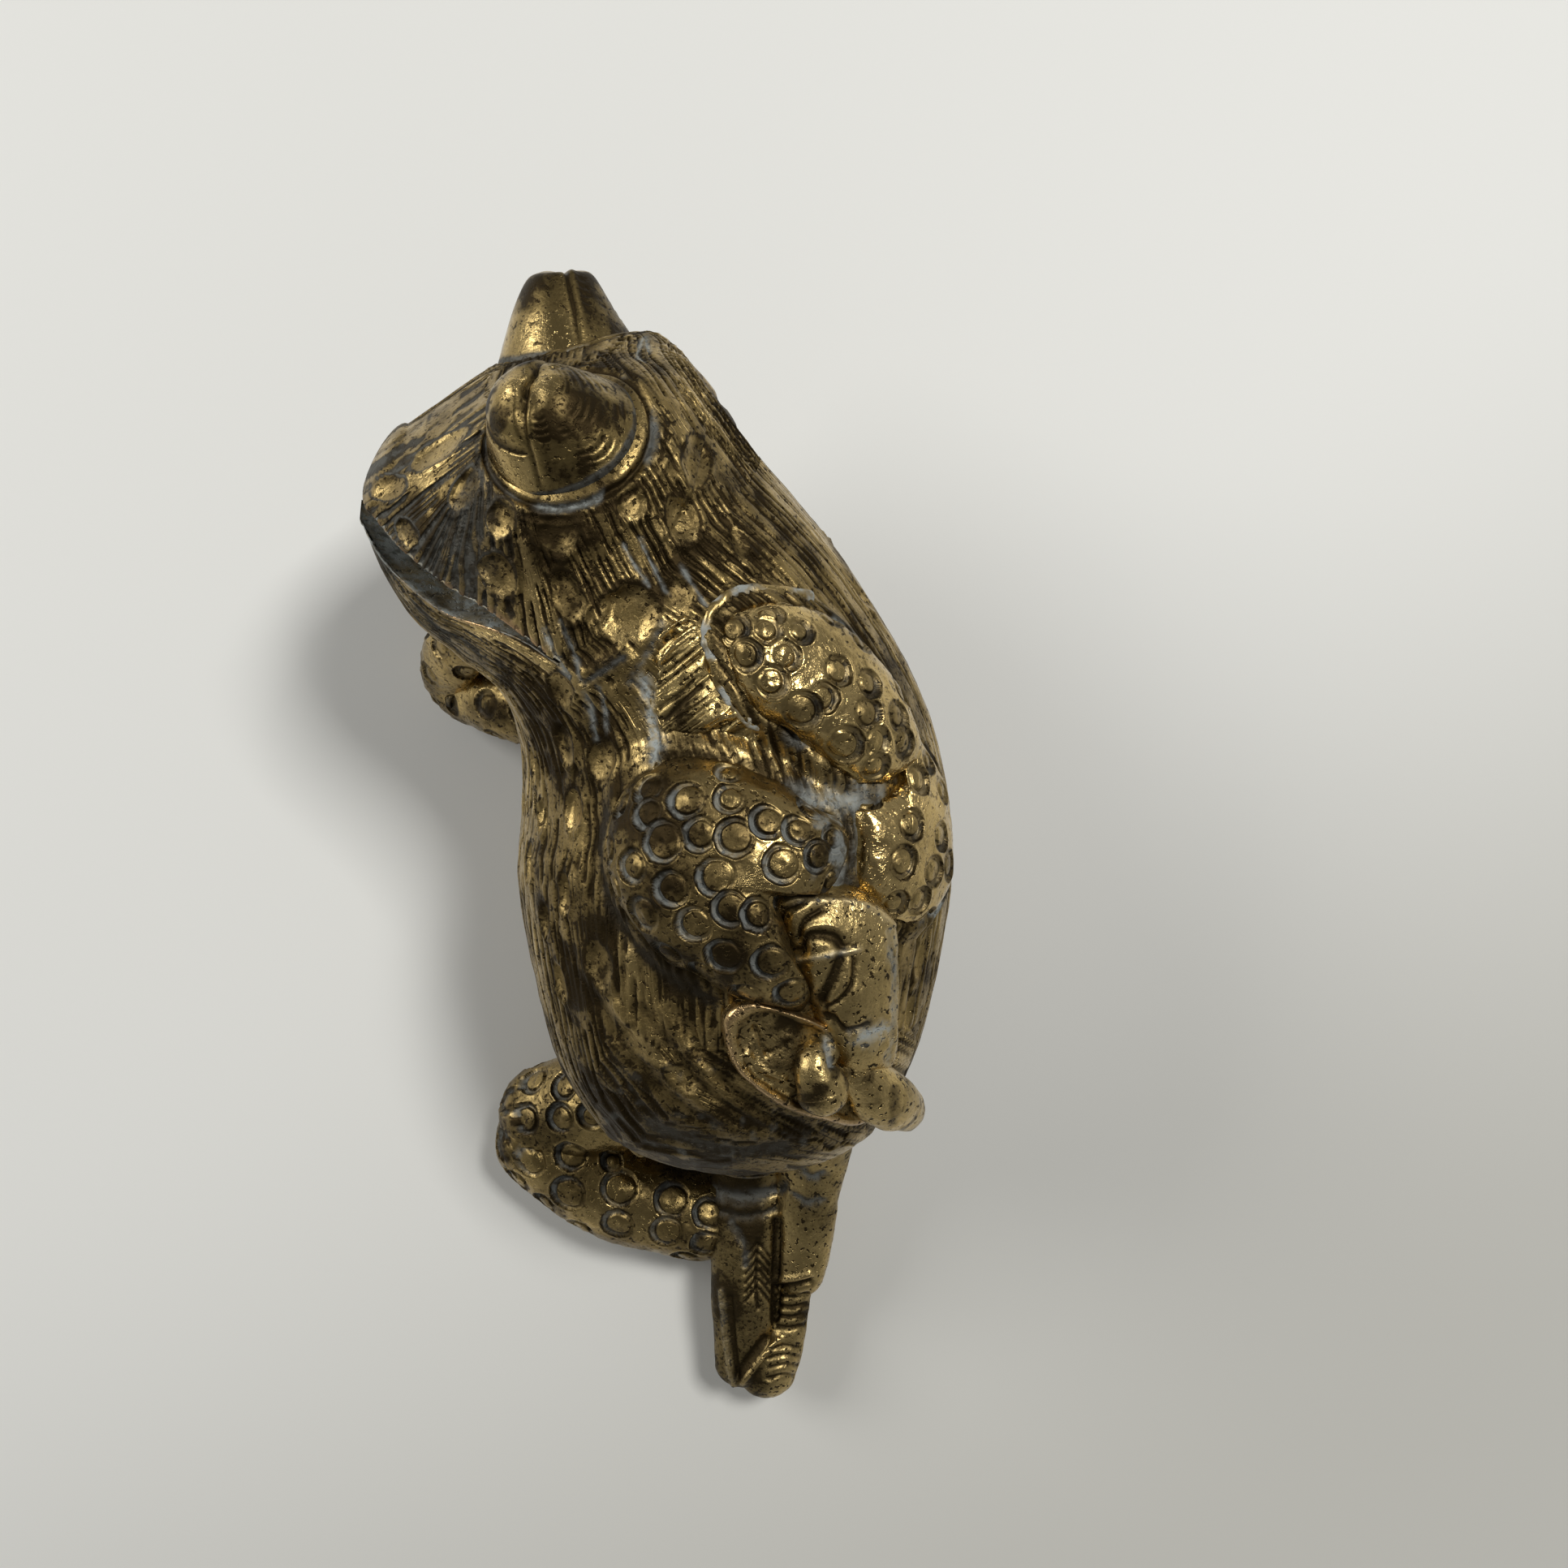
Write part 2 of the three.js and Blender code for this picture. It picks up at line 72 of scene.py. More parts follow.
# Head axes, mouth and eyes, with lengths in millimetres; 1 is the left eye and -1 the right one
HEAD_FORWARD = (-0.91, 0.31, 0.28)
HEAD_UP = (0.42, 0.75, 0.53)
MOUTH_STATION = 8.0
MOUTH_DROP = 6.0
MOUTH_SEAM = 0.3
MOUTH_GAP = 3.8
EYE_AHEAD = 5.0
EYE_RAISE = 20.3
EYE_APART = 12.2
EYE_LENGTHS = {1: 8.9, -1: 8.8}
EYE_BREADTH = 8.2
EYE_HEIGHTS = {1: 6.3, -1: 8.0}
EYE_SINKS = {1: 1.2, -1: 1.8}
EYE_SWELLS = {1: 1.35, -1: 1.1}
EYE_BENDS = {1: 0.08, -1: 0.035}
EYE_LEAN_OUT = 0.57
EYE_LEANS_FORWARD = {1: 1.05, -1: 0.55}

# Camera over the table: height in millimetres, focal length and picture edge in pixels
CAMERA_HEIGHT = 235.0
FOCAL_PIXELS = 2000.0
PHOTO_PIXELS = 1932.0
SENSOR_WIDTH = 36.0

# Flow of the engraved lines in millimetres: one radian of girth, one station, room between guides
FLOW_GIRTH = 25.0
FLOW_STATION = 12.5
GUIDE_ROOM = 6.0

# Random fields: size of the table of values, and factors that mix the three cell numbers
NOISE_SIZE = 4096
NOISE_FACTORS = (73856093, 19349663, 83492791)

# Grid on which the camera's view of the body is looked up, as first, last and count, and the
# slope down to which skin counts as seen
VIEW_STATIONS = (0, 11, 331)
VIEW_TURNS = (-110, 125, 236)
EDGE_ON = -0.05

# Step of the stations between which the solid torso is lofted, and spacing of a grid's own flow
SOLID_STEP = 1 / 3
GRID_STEP = 0.4

# Head's lines: turns at the neck as first, end and step, and turns over which the fan fades out
NECK_TURNS = (-30.0, 116.0, 5.0)
FAN_FADE = (100.0, 130.0)

# Thumb marks: the way to their deep end, and floor and lip as shares of a mark's depth
DIMPLE_DEEP_END = (-0.2, 1.0, 0.0)
DIMPLE_FLOOR = 1.5
DIMPLE_LIP = 0.3

# Skin in millimetres: length, width and rise of the broad folds, size and rise of the lumps
FOLD_LONG = 22.0
FOLD_WIDE = 5.5
FOLD_RISE = 0.16
LUMP_SIZE = 2.2
LUMP_RISE = 0.1

# Fine structure of the finish in humps per metre, and colours of bare copper and of verdigris
BLOTCHES = 160.0
GRAINS = 2400.0
PITS = 1500.0
CLOUDS = 45.0
SPECKLES = 900.0
COPPER_TONE = (0.56, 0.35, 0.19)
CRUST_TONE = (0.30, 0.32, 0.30)

# Scratches of the finish: distance apart and length in millimetres, and how sparse they are
SCRATCHES = (0.45, 3.0, 0.52)

# Punched rings in millimetres: half width of the groove on its shallow side and what its deep
# side has more, rise and lean of the boss, depth of the dot and rise of the rim
RING_HALF = 0.2
RING_WIDER = 0.2
BOSS_RISE = 0.12
BOSS_LEAN = 0.2
DOT_DEPTH = 0.1
RIM_RISE = 0.1

# Search for a ring's place: cost of a hidden point, gain per millimetre of height, farthest gap in
# square pixels; and the rings of the hidden side: their sizes and the number of tries
HIDDEN_COST = 1e5
HEIGHT_GAIN = 15
FARTHEST = 150
HIDDEN_SIZES = (1.4, 1.75)
HIDDEN_TRIES = 2500

# Mouth: columns of its wall, width and depth of the rounded lip, span that has the full depth
MOUTH_COLUMNS = 60
LIP_WIDTH = 0.8
LIP_DEPTH = 0.5
LIP_SPAN = 8

# Rise and depth of the forms on an eye in millimetres, its rounds, and its wall under the seat
GLOBE_RISE = 0.55
CREASE_DEPTH = 0.45
CLEFT_DEPTH = 0.55
SEAM_DEPTH = 0.35
RIDGE_RISE = 0.25
LOBE_RISE = 0.5
ROUND_DEPTH = 0.16
EYE_ROUNDS = 16
EYE_SKIRT = (3.5, 0.3)
SKIRT_ROWS = 6

# Shares of an eye's radius: where the dome bends over and where the lid ends
EYE_SHOULDER = 0.44
LID_EDGE = 0.72

# Columns and rows of the picture between which a tint fades in; the left leg's dark side and the right
# foot's dark side and ankle are painted shade
WELD_COLUMNS = (945, 1010)
LEG_DARK_COLUMNS = (930, 800)
LEG_MIDDLE_ROW = 1080
TROUGH_COLUMNS = (960, 1030)
TROUGH_ROWS = (1120, 1060)
TOE_COLUMNS = (960, 930)
ANKLE_ROWS = (1570, 1470)
SNOUT_COLUMNS = (660, 540)

# Turns and stations of the torso between which lines fade, folds grow calm and painted shade darkens the
# rump
BACK_TURNS = (40, 75)
BELLY_TURNS = (-15, -50)
BELLY_STATIONS = (2.0, 2.8)
CALM_STATIONS = (2.9, 2.2)
DARK_STATIONS = (2.9, 1.6)
RUMP_TURNS = (60, 10)
PATCH_TURNS = (-75, 70)

# Table: edge, drop under the toad in metres, roughness and colours in the light and away from it
TABLE_EDGE = 1.2
TABLE_DROP = 0.00005
TABLE_ROUGH = 0.6
TABLE_LIT = (0.70, 0.695, 0.655)
TABLE_DIM = (0.50, 0.49, 0.445)

# Room: colours of the sky at the horizon and overhead, height that the lights face, nearest view
SKY_LOW = (0.28, 0.285, 0.29)
SKY_HIGH = (0.11, 0.11, 0.11)
AIM_HEIGHT = 0.03
NEAR_CLIP = 0.01


class Mark(Enum):
    """Values that every point carries for the finish."""

    # Darkening from the patina of hollows and from painted shade
    PATINA_AND_SHADE = "patina_and_shade"
    # Brightening from real rubbing and from painted highlights
    WORN_AND_HIGHLIT = "worn_and_highlit"
    VERDIGRIS = "verdigris"
    LINES = "lines"
    COPPER = "copper"


class Seed(IntEnum):
    """Numbers of the random fields."""

    FOLDS = 11
    LUMPS = 12
    CAST_FINE = 16
    CAST_BROAD = 17
    CAST_MIDDLE = 18
    WEAR_AND_SHEEN = 19
    RUMP_SHADE = 21
    RUMP_CRUST = 22
    WELD_MOTTLE = 23
    PATCH_EDGES = 24
    GROOVE_EDGES = 31
    BEAD_CRUST = 33
    BEAD_LUMPS = 34
    HAND_LUMPS = 35
    HAND_GRIME = 36
    EYE_RING_CRUST = 41
    EYE_RING_FOLDS = 42
    MOUTH_CRUST = 43
    DIMPLE_SHAPE = 44
    DIMPLE_EDGES = 45
    LEG_MOTTLE = 46
    WEB_FOLDS = 47
    TOE_GRIME = 48
    EYE_LUMPS = 50
    ROUND_WEAR = 51
    ROUND_SWAY = 52
    CLEFT_SWAY = 53
    EYE_GRIME = 54
    BOLD_STROKES = 61
    FINE_STROKES = 71


class Section(NamedTuple):
    """One oval section of the body."""

    x: float
    y: float
    z: float
    depth: float
    width: float
    heading: float
    rise: float
    roll: float


BODY = (
    Section(-4.6, -54.5, 24, 4, 4, 0, 3, 0),
    Section(-5.4, -48.5, 25, 13.5, 13.5, 0, 4, 0),
    Section(-6, -36, 26.5, 22, 22.5, 0, 4, 0),
    Section(-6, -22.5, 26.9, 25.8, 27, 1, 4, 0),
    Section(-6.2, -8.7, 27.3, 27.6, 28.6, 5, 5, 0),
    Section(-7.6, 4, 29, 26.2, 27.4, 14, 9, 0),
    Section(-12.2, 16, 33.5, 23, 24.5, 27, 14, 4),
    Section(-19, 26, 37.5, 21, 23, 42, 17, 14),
    Section(-26.8, 33.9, 39.5, 22.4, 21.5, 55, 18, 26),
    Section(-36.2, 35.4, 40.5, 17.4, 18.5, 63, 19, 31),
    Section(-43, 36.2, 41.6, 11.4, 13.8, 66, 19, 31),
    Section(-47.2, 36.8, 42.4, 6, 8.4, 66, 19, 31),
)


def unit(vectors: Array) -> Array:
    """Scales vectors to length one.

    Args:
        vectors: Vectors along the last axis.

    Returns:
        Unit vectors of the same shape.
    """
    length = np.linalg.norm(vectors, axis=-1, keepdims=True)
    return vectors / np.maximum(length, 1e-9)


def ease(value: Array, low: Array | float, high: Array | float) -> Array:
    """Smooth step from 0 at low to 1 at high.

    Args:
        value: Values to grade.
        low: Value that gives 0.
        high: Value that gives 1.

    Returns:
        Graded values between 0 and 1.
    """
    share = np.clip((value - low) / (high - low), 0.0, 1.0)
    return share * share * (3.0 - 2.0 * share)


def stretches(ends: Sequence[float], counts: Sequence[int]) -> Array:
    """Values from the first end to the last, evenly spaced within each stretch.

    Args:
        ends: Ends of the stretches.
        counts: Steps in each stretch.

    Returns:
        The values, one more than all the steps.
    """
    parts = [np.linspace(a, b, n, endpoint=False) for a, b, n in zip(ends, ends[1:], counts)]
    return np.append(np.concatenate(parts), ends[-1])


def hump(value: Array, middle: Array | float, reach: Array | float) -> Array:
    """Bell curve.

    Args:
        value: Values to grade.
        middle: Value that gives 1.
        reach: Distance from the middle at which the bell falls to 0.37.

    Returns:
        Values between 0 and 1.
    """
    return np.exp(-(((value - middle) / reach) ** 2))


def quarter(count: int) -> Array:
    """Angles of a rounded end, from a right angle down to just short of zero.

    Args:
        count: Number of angles.

    Returns:
        Angles in radians.
    """
    return np.radians(np.linspace(90, 0, count + 1)[:-1])


def smooth_run(rows: Array, at: Array, loop: bool = False) -> Array:
    """Even Catmull-Rom curve through rows.

    Args:
        rows: Values or points, one per row.
        at: Fractional row numbers.
        loop: Whether the curve comes back to its first row; otherwise its ends are mirrored.

    Returns:
        Values of the curve at those row numbers.
    """
    rows = np.asarray(rows, float)
    if loop:
        rows = np.concatenate([rows, rows[:1]])
        ends = np.concatenate([rows[-2:-1], rows, rows[1:2]])
    else:
        ends = np.concatenate([2 * rows[:1] - rows[1:2], rows, 2 * rows[-1:] - rows[-2:-1]])
    at = np.clip(np.asarray(at, float), 0, len(rows) - 1)
    k = np.minimum(at.astype(int), len(rows) - 2)
    u = (at - k).reshape(at.shape + (1,) * (rows.ndim - 1))
    a, b, c, d = ends[k], ends[k + 1], ends[k + 2], ends[k + 3]
    leave, arrive = (c - a) / 2, (d - b) / 2
    cubic = 2 * b - 2 * c + leave + arrive
    square = 3 * c - 3 * b - 2 * leave - arrive
    return ((cubic * u + square) * u + leave) * u + b


def noise(points: Array, seed: int) -> Array:
    """Smooth random field with one hump per unit of length.

    Args:
        points: Places along the last axis, two or three numbers each.
        seed: Number of the field.

    Returns:
        Values between -1 and 1.
    """
    if points.shape[-1] == 2:
        points = np.concatenate([points, np.zeros(points.shape[:-1] + (1,))], -1)
    table = np.random.default_rng(seed).uniform(-1, 1, NOISE_SIZE)
    cell = np.floor(points).astype(np.int64)
    part = points - cell
    part = part * part * (3 - 2 * part)
    total = np.zeros(points.shape[:-1])
    first, second, third = NOISE_FACTORS
    for corner in np.ndindex(2, 2, 2):
        at = cell + np.array(corner)
        key = at[..., 0] * first ^ at[..., 1] * second ^ at[..., 2] * third
        share = np.where(np.array(corner) == 1, part, 1 - part).prod(-1)
        total += table[key & (NOISE_SIZE - 1)] * share
    return total


def plane_noise(x: Array, y: Array, seed: int) -> Array:
    """Smooth random field over a plane, with one hump per unit of length.

    Args:
        x: Places along the plane's first axis.
        y: Places along its second axis.
        seed: Number of the field.

    Returns:
        Values between -1 and 1.
    """
    return noise(np.stack([x, y], -1), seed)


def nearest(points: Array, path: Array) -> Array:
    """Distance from points to the nearest sample of a path.

    Args:
        points: Points along the last axis.
        path: Samples along the path.

    Returns:
        Distance for each point.
    """
    best = np.full(points.shape[:-1], np.inf)
    for sample in path:
        best = np.minimum(best, ((points - sample) ** 2).sum(-1))
    return np.sqrt(best)


def pixel_size(points: Array) -> Array:
    """Size of a pixel of the picture at the height of points.

    Args:
        points: Points in the figure's frame.

    Returns:
        Millimetres per pixel.
    """
    return (CAMERA_HEIGHT - points[..., 2]) / FOCAL_PIXELS


def photo_pixels(points: Array) -> Array:
    """Places of points in the picture that the overhead camera takes.

    Args:
        points: Points in the figure's frame.

    Returns:
        Columns and rows in pixels.
    """
    size = pixel_size(points)
    middle = PHOTO_PIXELS / 2
    return np.stack([middle + points[..., 0] / size, middle - points[..., 1] / size], -1)


def picture_flow(column: Array, row: Array, lean: float, size: float) -> Array:
    """Flow of lines that lie straight in the picture.

    Args:
        column: Columns of the points.
        row: Rows of the points.
        lean: Degrees by which the lines drop towards the right.
        size: Millimetres per pixel.

    Returns:
        Millimetres along and across the lines, for each point.
    """
    tilt = np.radians(lean)
    along = size * (column * np.cos(tilt) + row * np.sin(tilt))
    across = size * (row * np.cos(tilt) - column * np.sin(tilt))
    return np.stack([along, across], -1)


class BodyFrame(NamedTuple):
    """Centre, axes and half sizes of body sections."""

    centre: Array
    ahead: Array
    side: Array
    back: Array
    depth: Array
    width: Array


class Body:
    """Bent oval body that every casting of the toad is placed on."""

    def __init__(self, sections: Sequence[Section]) -> None:
        """Keeps the sections as one table."""
        self.table = np.array(sections, float)

    def sections(self, station: Array) -> BodyFrame:
        """Sections at fractional stations.

        The heading turns the section from +Y towards -X, the rise lifts it, and the roll
        turns the back towards the upper side.

        Args:
            station: Stations counted from the rump.

        Returns:
            Centre, axes and half sizes there.
        """
        row = smooth_run(self.table, np.asarray(station, float))
        heading, rise, roll = (np.radians(row[..., k]) for k in (5, 6, 7))
        level = np.cos(rise)
        ahead = np.stack([-np.sin(heading) * level, np.cos(heading) * level, np.sin(rise)], -1)
        upright = unit(np.array([0.0, 0.0, 1.0]) - ahead * ahead[..., 2:])
        across = np.cross(ahead, upright)
        side = upright * np.cos(roll)[..., None] - across * np.sin(roll)[..., None]
        back = np.cross(ahead, side)
        return BodyFrame(row[..., :3], ahead, side, back, row[..., 3], row[..., 4])

    def point(self, station: Array, turn: Array, lift: Array | float = 0.0) -> Array:
        """Places over the skin.

        Args:
            station: Stations counted from the rump.
            turn: Degrees from the uppermost line towards the back.
            lift: Height over the skin.

        Returns:
            Points in the figure's frame.
        """
        f = self.sections(station)
        angle = np.radians(turn)
        skin = f.centre + f.back * (f.depth * np.sin(angle))[..., None]
        skin = skin + f.side * (f.width * np.cos(angle))[..., None]
        return skin + self.outward(station, turn) * np.asarray(lift, float)[..., None]

    def outward(self, station: Array, turn: Array) -> Array:
        """Outward directions of the skin.

        Args:
            station: Stations counted from the rump.
            turn: Degrees from the uppermost line towards the back.

        Returns:
            Unit vectors.
        """
        f = self.sections(station)
        angle = np.radians(turn)
        out = f.back * (np.sin(angle) / f.depth)[..., None]
        return unit(out + f.side * (np.cos(angle) / f.width)[..., None])

    def seen_at(self, pixels: Sequence[tuple[float, float]], lift: float = 0.0) -> Array:
        """Stations and turns that the camera sees at pixels.

        Args:
            pixels: Columns and rows in the picture.
            lift: Height over the skin.

        Returns:
            One station and one turn per pixel.
        """
        place, seen = self.view(round(float(lift), 2))
        gaps = (((seen - np.array(pixel)) ** 2).sum(-1) for pixel in pixels)
        return np.array([place[gap.argmin()] for gap in gaps])

    @lru_cache(maxsize=32)
    def view(self, lift: float) -> tuple[Array, Array]:
        """Stations, turns and pixels of the skin that faces the camera.

        Args:
            lift: Height over the skin.

        Returns:
            Stations with turns, and columns with rows in the picture.
        """
        grid = np.meshgrid(np.linspace(*VIEW_STATIONS), np.linspace(*VIEW_TURNS), indexing="ij")
        station, turn = (axis.ravel() for axis in grid)
        seen = self.outward(station, turn)[:, 2] > EDGE_ON
        station, turn = station[seen], turn[seen]
        points = self.point(station, turn, np.full(station.shape, lift))
        return np.stack([station, turn], -1), photo_pixels(points)


@dataclass(frozen=True)
class HeadAxes:
    """Axes of the head, the mouth's corner line and the eyes' places."""

    body: Body

    @property
    def forward(self) -> Array:
        """Direction in which the head faces."""
        return unit(np.array(HEAD_FORWARD))

    @property
    def up(self) -> Array:
        """Direction from the mouth towards the crown."""
        raw = np.array(HEAD_UP)
        return unit(raw - self.forward * (raw @ self.forward))

    @property
    def left(self) -> Array:
        """Direction towards the toad's left."""
        return np.cross(self.up, self.forward)

    @property
    def mouth(self) -> Array:
        """Middle of the line that joins the mouth's corners."""
        centre = self.body.sections(np.array(MOUTH_STATION)).centre
        return centre - self.up * MOUTH_DROP

    def eye_place(self, hand: int) -> Array:
        """Centre of an eye's seat, for hand 1 on the left and for hand -1 on the right."""
        place = self.mouth + self.forward * EYE_AHEAD + self.up * EYE_RAISE
        return place + self.left * hand * EYE_APART

    def eye_axis(self, hand: int) -> Array:
        """Direction in which an eye's dome points, for hand 1 on the left and -1 on the right."""
        lean = self.up + self.left * hand * EYE_LEAN_OUT + self.forward * EYE_LEANS_FORWARD[hand]
        return unit(lean)

    def eye_oval(self, points: Array, hand: int) -> tuple[Array, Array]:
        """Oval radius about an eye, 1 at its base, and height over its seat.

        Args:
            points: Points in the figure's frame.
            hand: 1 for the left eye and -1 for the right one.

        Returns:
            Oval radii and heights.
        """
        axis = self.eye_axis(hand)
        front = unit(self.forward - axis * (self.forward @ axis))
        offset = points - self.eye_place(hand)
        along, over = offset @ front / EYE_LENGTHS[hand], offset @ axis
        return np.hypot(along, offset @ np.cross(axis, front) / EYE_BREADTH), over


TOAD = Body(BODY)
HEAD = HeadAxes(TOAD)


@dataclass
class Sheet:
    """Grid of points with the marks and the flow of engraved lines on each point."""

    points: Array
    closed: bool = True
    marks: dict[Mark, Array] = field(default_factory=dict)
    flow: Array | None = None

    def __post_init__(self) -> None:
        """Gives every mark a clean start."""
        shape = self.points.shape[:2]
        for mark in Mark:
            self.marks.setdefault(mark, np.zeros(shape))
        if self.flow is None:
            grid = np.meshgrid(*(np.arange(n) * GRID_STEP for n in shape), indexing="ij")
            self.flow = np.stack(grid, -1)

    def normals(self) -> Array:
        """Outward normals, from the differences between neighbours on the grid.

        Returns:
            Unit vectors, one per point.
        """
        along = np.gradient(self.points, axis=0)
        if self.closed:
            girth = np.roll(self.points, -1, 1) - np.roll(self.points, 1, 1)
        else:
            girth = np.gradient(self.points, axis=1)
        return unit(np.cross(girth, along))

    def lift(self, height: Array, outward: Array | None = None) -> None:
        """Moves the points by a height, along their normals or along given directions."""
        direction = self.normals() if outward is None else outward
        self.points = self.points + direction * height[..., None]

    def stain(self, mark: Mark, amount: Array) -> None:
        """Raises a mark to at least an amount."""
        self.marks[mark] = np.maximum(self.marks[mark], np.clip(amount, 0, 1))

    def wipe(self, mark: Mark, amount: Array | float) -> None:
        """Takes a share of a mark away."""
        self.marks[mark] = self.marks[mark] * (1 - np.clip(amount, 0, 1))

    def noise(self, size: float, seed: int) -> Array:
        """Random field between -1 and 1 over the points, with humps of a size in millimetres."""
        return noise(self.points / size, seed)

    def picture(self) -> tuple[Array, Array]:
        """Columns and rows of the points in the picture."""
        return tuple(np.moveaxis(photo_pixels(self.points), -1, 0))

    def facing(self) -> Array:
        """Cosines between the skin and the ray to the camera, below 0 where it is turned away."""
        ray = unit(np.array([0.0, 0.0, CAMERA_HEIGHT]) - self.points)
        return (self.normals() * ray).sum(-1)


class Dimple(NamedTuple):
    """Smooth oval thumb mark, placed in the picture, with half sizes in millimetres."""

    column: float
    row: float
    long: float
    wide: float
    tilt: float
    deep: float = 0.5


DIMPLES = (
    Dimple(855, 570, 3.6, 2.2, 60), Dimple(840, 637, 2.7, 2.2, 120), Dimple(775, 622, 2.2, 1.7, 100),
    Dimple(687, 650, 2.5, 2.3, 90), Dimple(617, 635, 2.1, 1.5, 80), Dimple(612, 705, 2.6, 2.2, 90),
    Dimple(697, 735, 2.9, 1.9, 110), Dimple(775, 755, 3.4, 3.1, 30, 0.75),
    Dimple(837, 732, 2.2, 1.9, 0), Dimple(912, 670, 2.4, 0.9, 95), Dimple(540, 555, 3.0, 1.6, 35),
    Dimple(477, 600, 2.0, 1.5, 20), Dimple(502, 657, 1.6, 1.5, 0), Dimple(572, 605, 2.6, 1.3, 60),
    Dimple(690, 850, 2.2, 1.9, 90), Dimple(694, 914, 2.9, 1.5, 95), Dimple(740, 934, 3.0, 2.0, 70),
    Dimple(706, 996, 2.4, 1.6, 80), Dimple(668, 1002, 2.2, 0.9, 90), Dimple(657, 942, 2.4, 1.0, 90),
    Dimple(695, 1100, 2.8, 1.2, 90), Dimple(652, 1065, 2.6, 1.2, 90), Dimple(737, 1185, 3.2, 2.2, 100),
    Dimple(672, 1135, 2.4, 1.3, 95), Dimple(690, 1210, 2.6, 1.4, 110), Dimple(785, 1285, 3.6, 1.4, 145),
    Dimple(840, 1330, 2.2, 1.6, 150), Dimple(880, 862, 2.2, 1.8, 30), Dimple(916, 904, 2.5, 0.9, 15),
    Dimple(1060, 730, 2.4, 1.2, 130), Dimple(1010, 640, 2.4, 1.3, 130),
    Dimple(1135, 1180, 2.6, 1.3, 80), Dimple(1120, 1250, 2.4, 1.2, 80),
)


class Groove(NamedTuple):
    """Line cut into the skin or raised on it, placed in the picture; sizes in millimetres."""

    pixels: tuple[tuple[float, float], ...]
    half: float
    height: float
    verdigris: float = 0.0
    patina_and_shade: float = 0.0
    ragged: float = 0.0
    worn_and_highlit: float = 0.0


def carve(sheet: Sheet, grooves: Sequence[Groove]) -> Array:
    """Height of lines that are placed in the picture, on the side that the camera sees.

    Args:
        sheet: Grid to carve.
        grooves: The lines.

    Returns:
        Height for each point.
    """
    seen = ease(sheet.facing(), 0.02, 0.15)
    pixels = photo_pixels(sheet.points)
    size = pixel_size(sheet.points)
    height = np.zeros(seen.shape)
    for groove in grooves:
        path = smooth_run(np.array(groove.pixels, float), np.linspace(0, len(groove.pixels) - 1, 40))
        half = groove.half * (1 + groove.ragged * sheet.noise(0.9, Seed.GROOVE_EDGES))
        shape = seen * hump(nearest(pixels, path) * size, 0.0, np.maximum(half, 0.12))
        sheet.wipe(Mark.PATINA_AND_SHADE, 0.7 * shape * (groove.worn_and_highlit > 0))
        sheet.stain(Mark.VERDIGRIS, groove.verdigris * shape)
        sheet.stain(Mark.PATINA_AND_SHADE, groove.patina_and_shade * shape)
        sheet.stain(Mark.WORN_AND_HIGHLIT, groove.worn_and_highlit * shape)
        sheet.wipe(Mark.LINES, 0.7 * shape)
        height += groove.height * shape
    return height


GROOVES = (
    Groove(((793, 838), (799, 866), (803, 892), (809, 918), (812, 932)), 0.6, -0.5, 1.0, 0.2, 0.8),
    Groove(((718, 830), (742, 818), (768, 804)), 0.75, 0.55),
    Groove(((720, 848), (745, 830), (772, 812)), 0.75, 0.55),
    Groove(((760, 850), (785, 812), (812, 768)), 0.7, 0.55),
    Groove(((786, 832), (804, 800), (820, 770)), 0.7, 0.6),
    Groove(((722, 840), (746, 824), (770, 808)), 0.35, -0.5, 0.3, 0.8),
    Groove(((774, 842), (796, 806), (817, 768)), 0.4, -0.6, 0.3, 0.8),
    Groove(((800, 432), (788, 424), (786, 440), (792, 446)), 0.25, -0.2, 0.8, 0.1, 0.4),
    Groove(((768, 672), (782, 696), (800, 722)), 0.2, -0.3, 0.9, 0.2, 0.5),
    Groove(((788, 664), (804, 696), (822, 730)), 0.22, -0.3, 0.9, 0.2, 0.5),
    Groove(((842, 700), (856, 724), (872, 748)), 0.2, -0.3, 0.8, 0.2, 0.5),
    Groove(((668, 776), (684, 806), (700, 834)), 0.3, -0.35, 0.8, 0.4, 0.5),
    Groove(((690, 766), (704, 800), (716, 836)), 0.25, -0.35, 0.6, 0.4, 0.5),
    Groove(((722, 852), (728, 880), (734, 912)), 0.3, -0.35, 0.7, 0.3, 0.5),
    Groove(((738, 846), (744, 872), (746, 900)), 0.25, -0.35, 0.7, 0.3, 0.5),
    Groove(
        ((752, 1000), (742, 1050), (750, 1110), (786, 1165), (830, 1205), (880, 1235)), 0.8, -0.5, 0.06, 0.9
    ),
    Groove(((770, 960), (800, 936), (850, 926), (900, 930), (950, 950)), 0.5, -0.5, 0.0, 0.8),
    Groove(((985, 985), (1030, 985), (1058, 992), (1062, 1030), (1052, 1075)), 1.2, -0.4, 0.8, 0.5, 0.8),
    Groove(((735, 1235), (770, 1290), (820, 1345), (880, 1390)), 0.7, -0.6, 0.0, 0.5),
    Groove(((790, 1240), (830, 1300), (880, 1350), (940, 1390)), 0.6, -0.5, 0.0, 0.5),
    Groove(((840, 1250), (866, 1300), (905, 1345), (960, 1385)), 0.6, -0.5, 0.0, 0.5),
    Groove(((760, 1240), (800, 1300), (850, 1352), (905, 1395)), 0.7, 0.4),
    Groove(((815, 1245), (850, 1300), (895, 1352), (950, 1390)), 0.6, 0.4),
    Groove(((800, 1385), (850, 1408), (910, 1420), (970, 1415)), 0.9, -0.6, 0.12, 0.8),
)


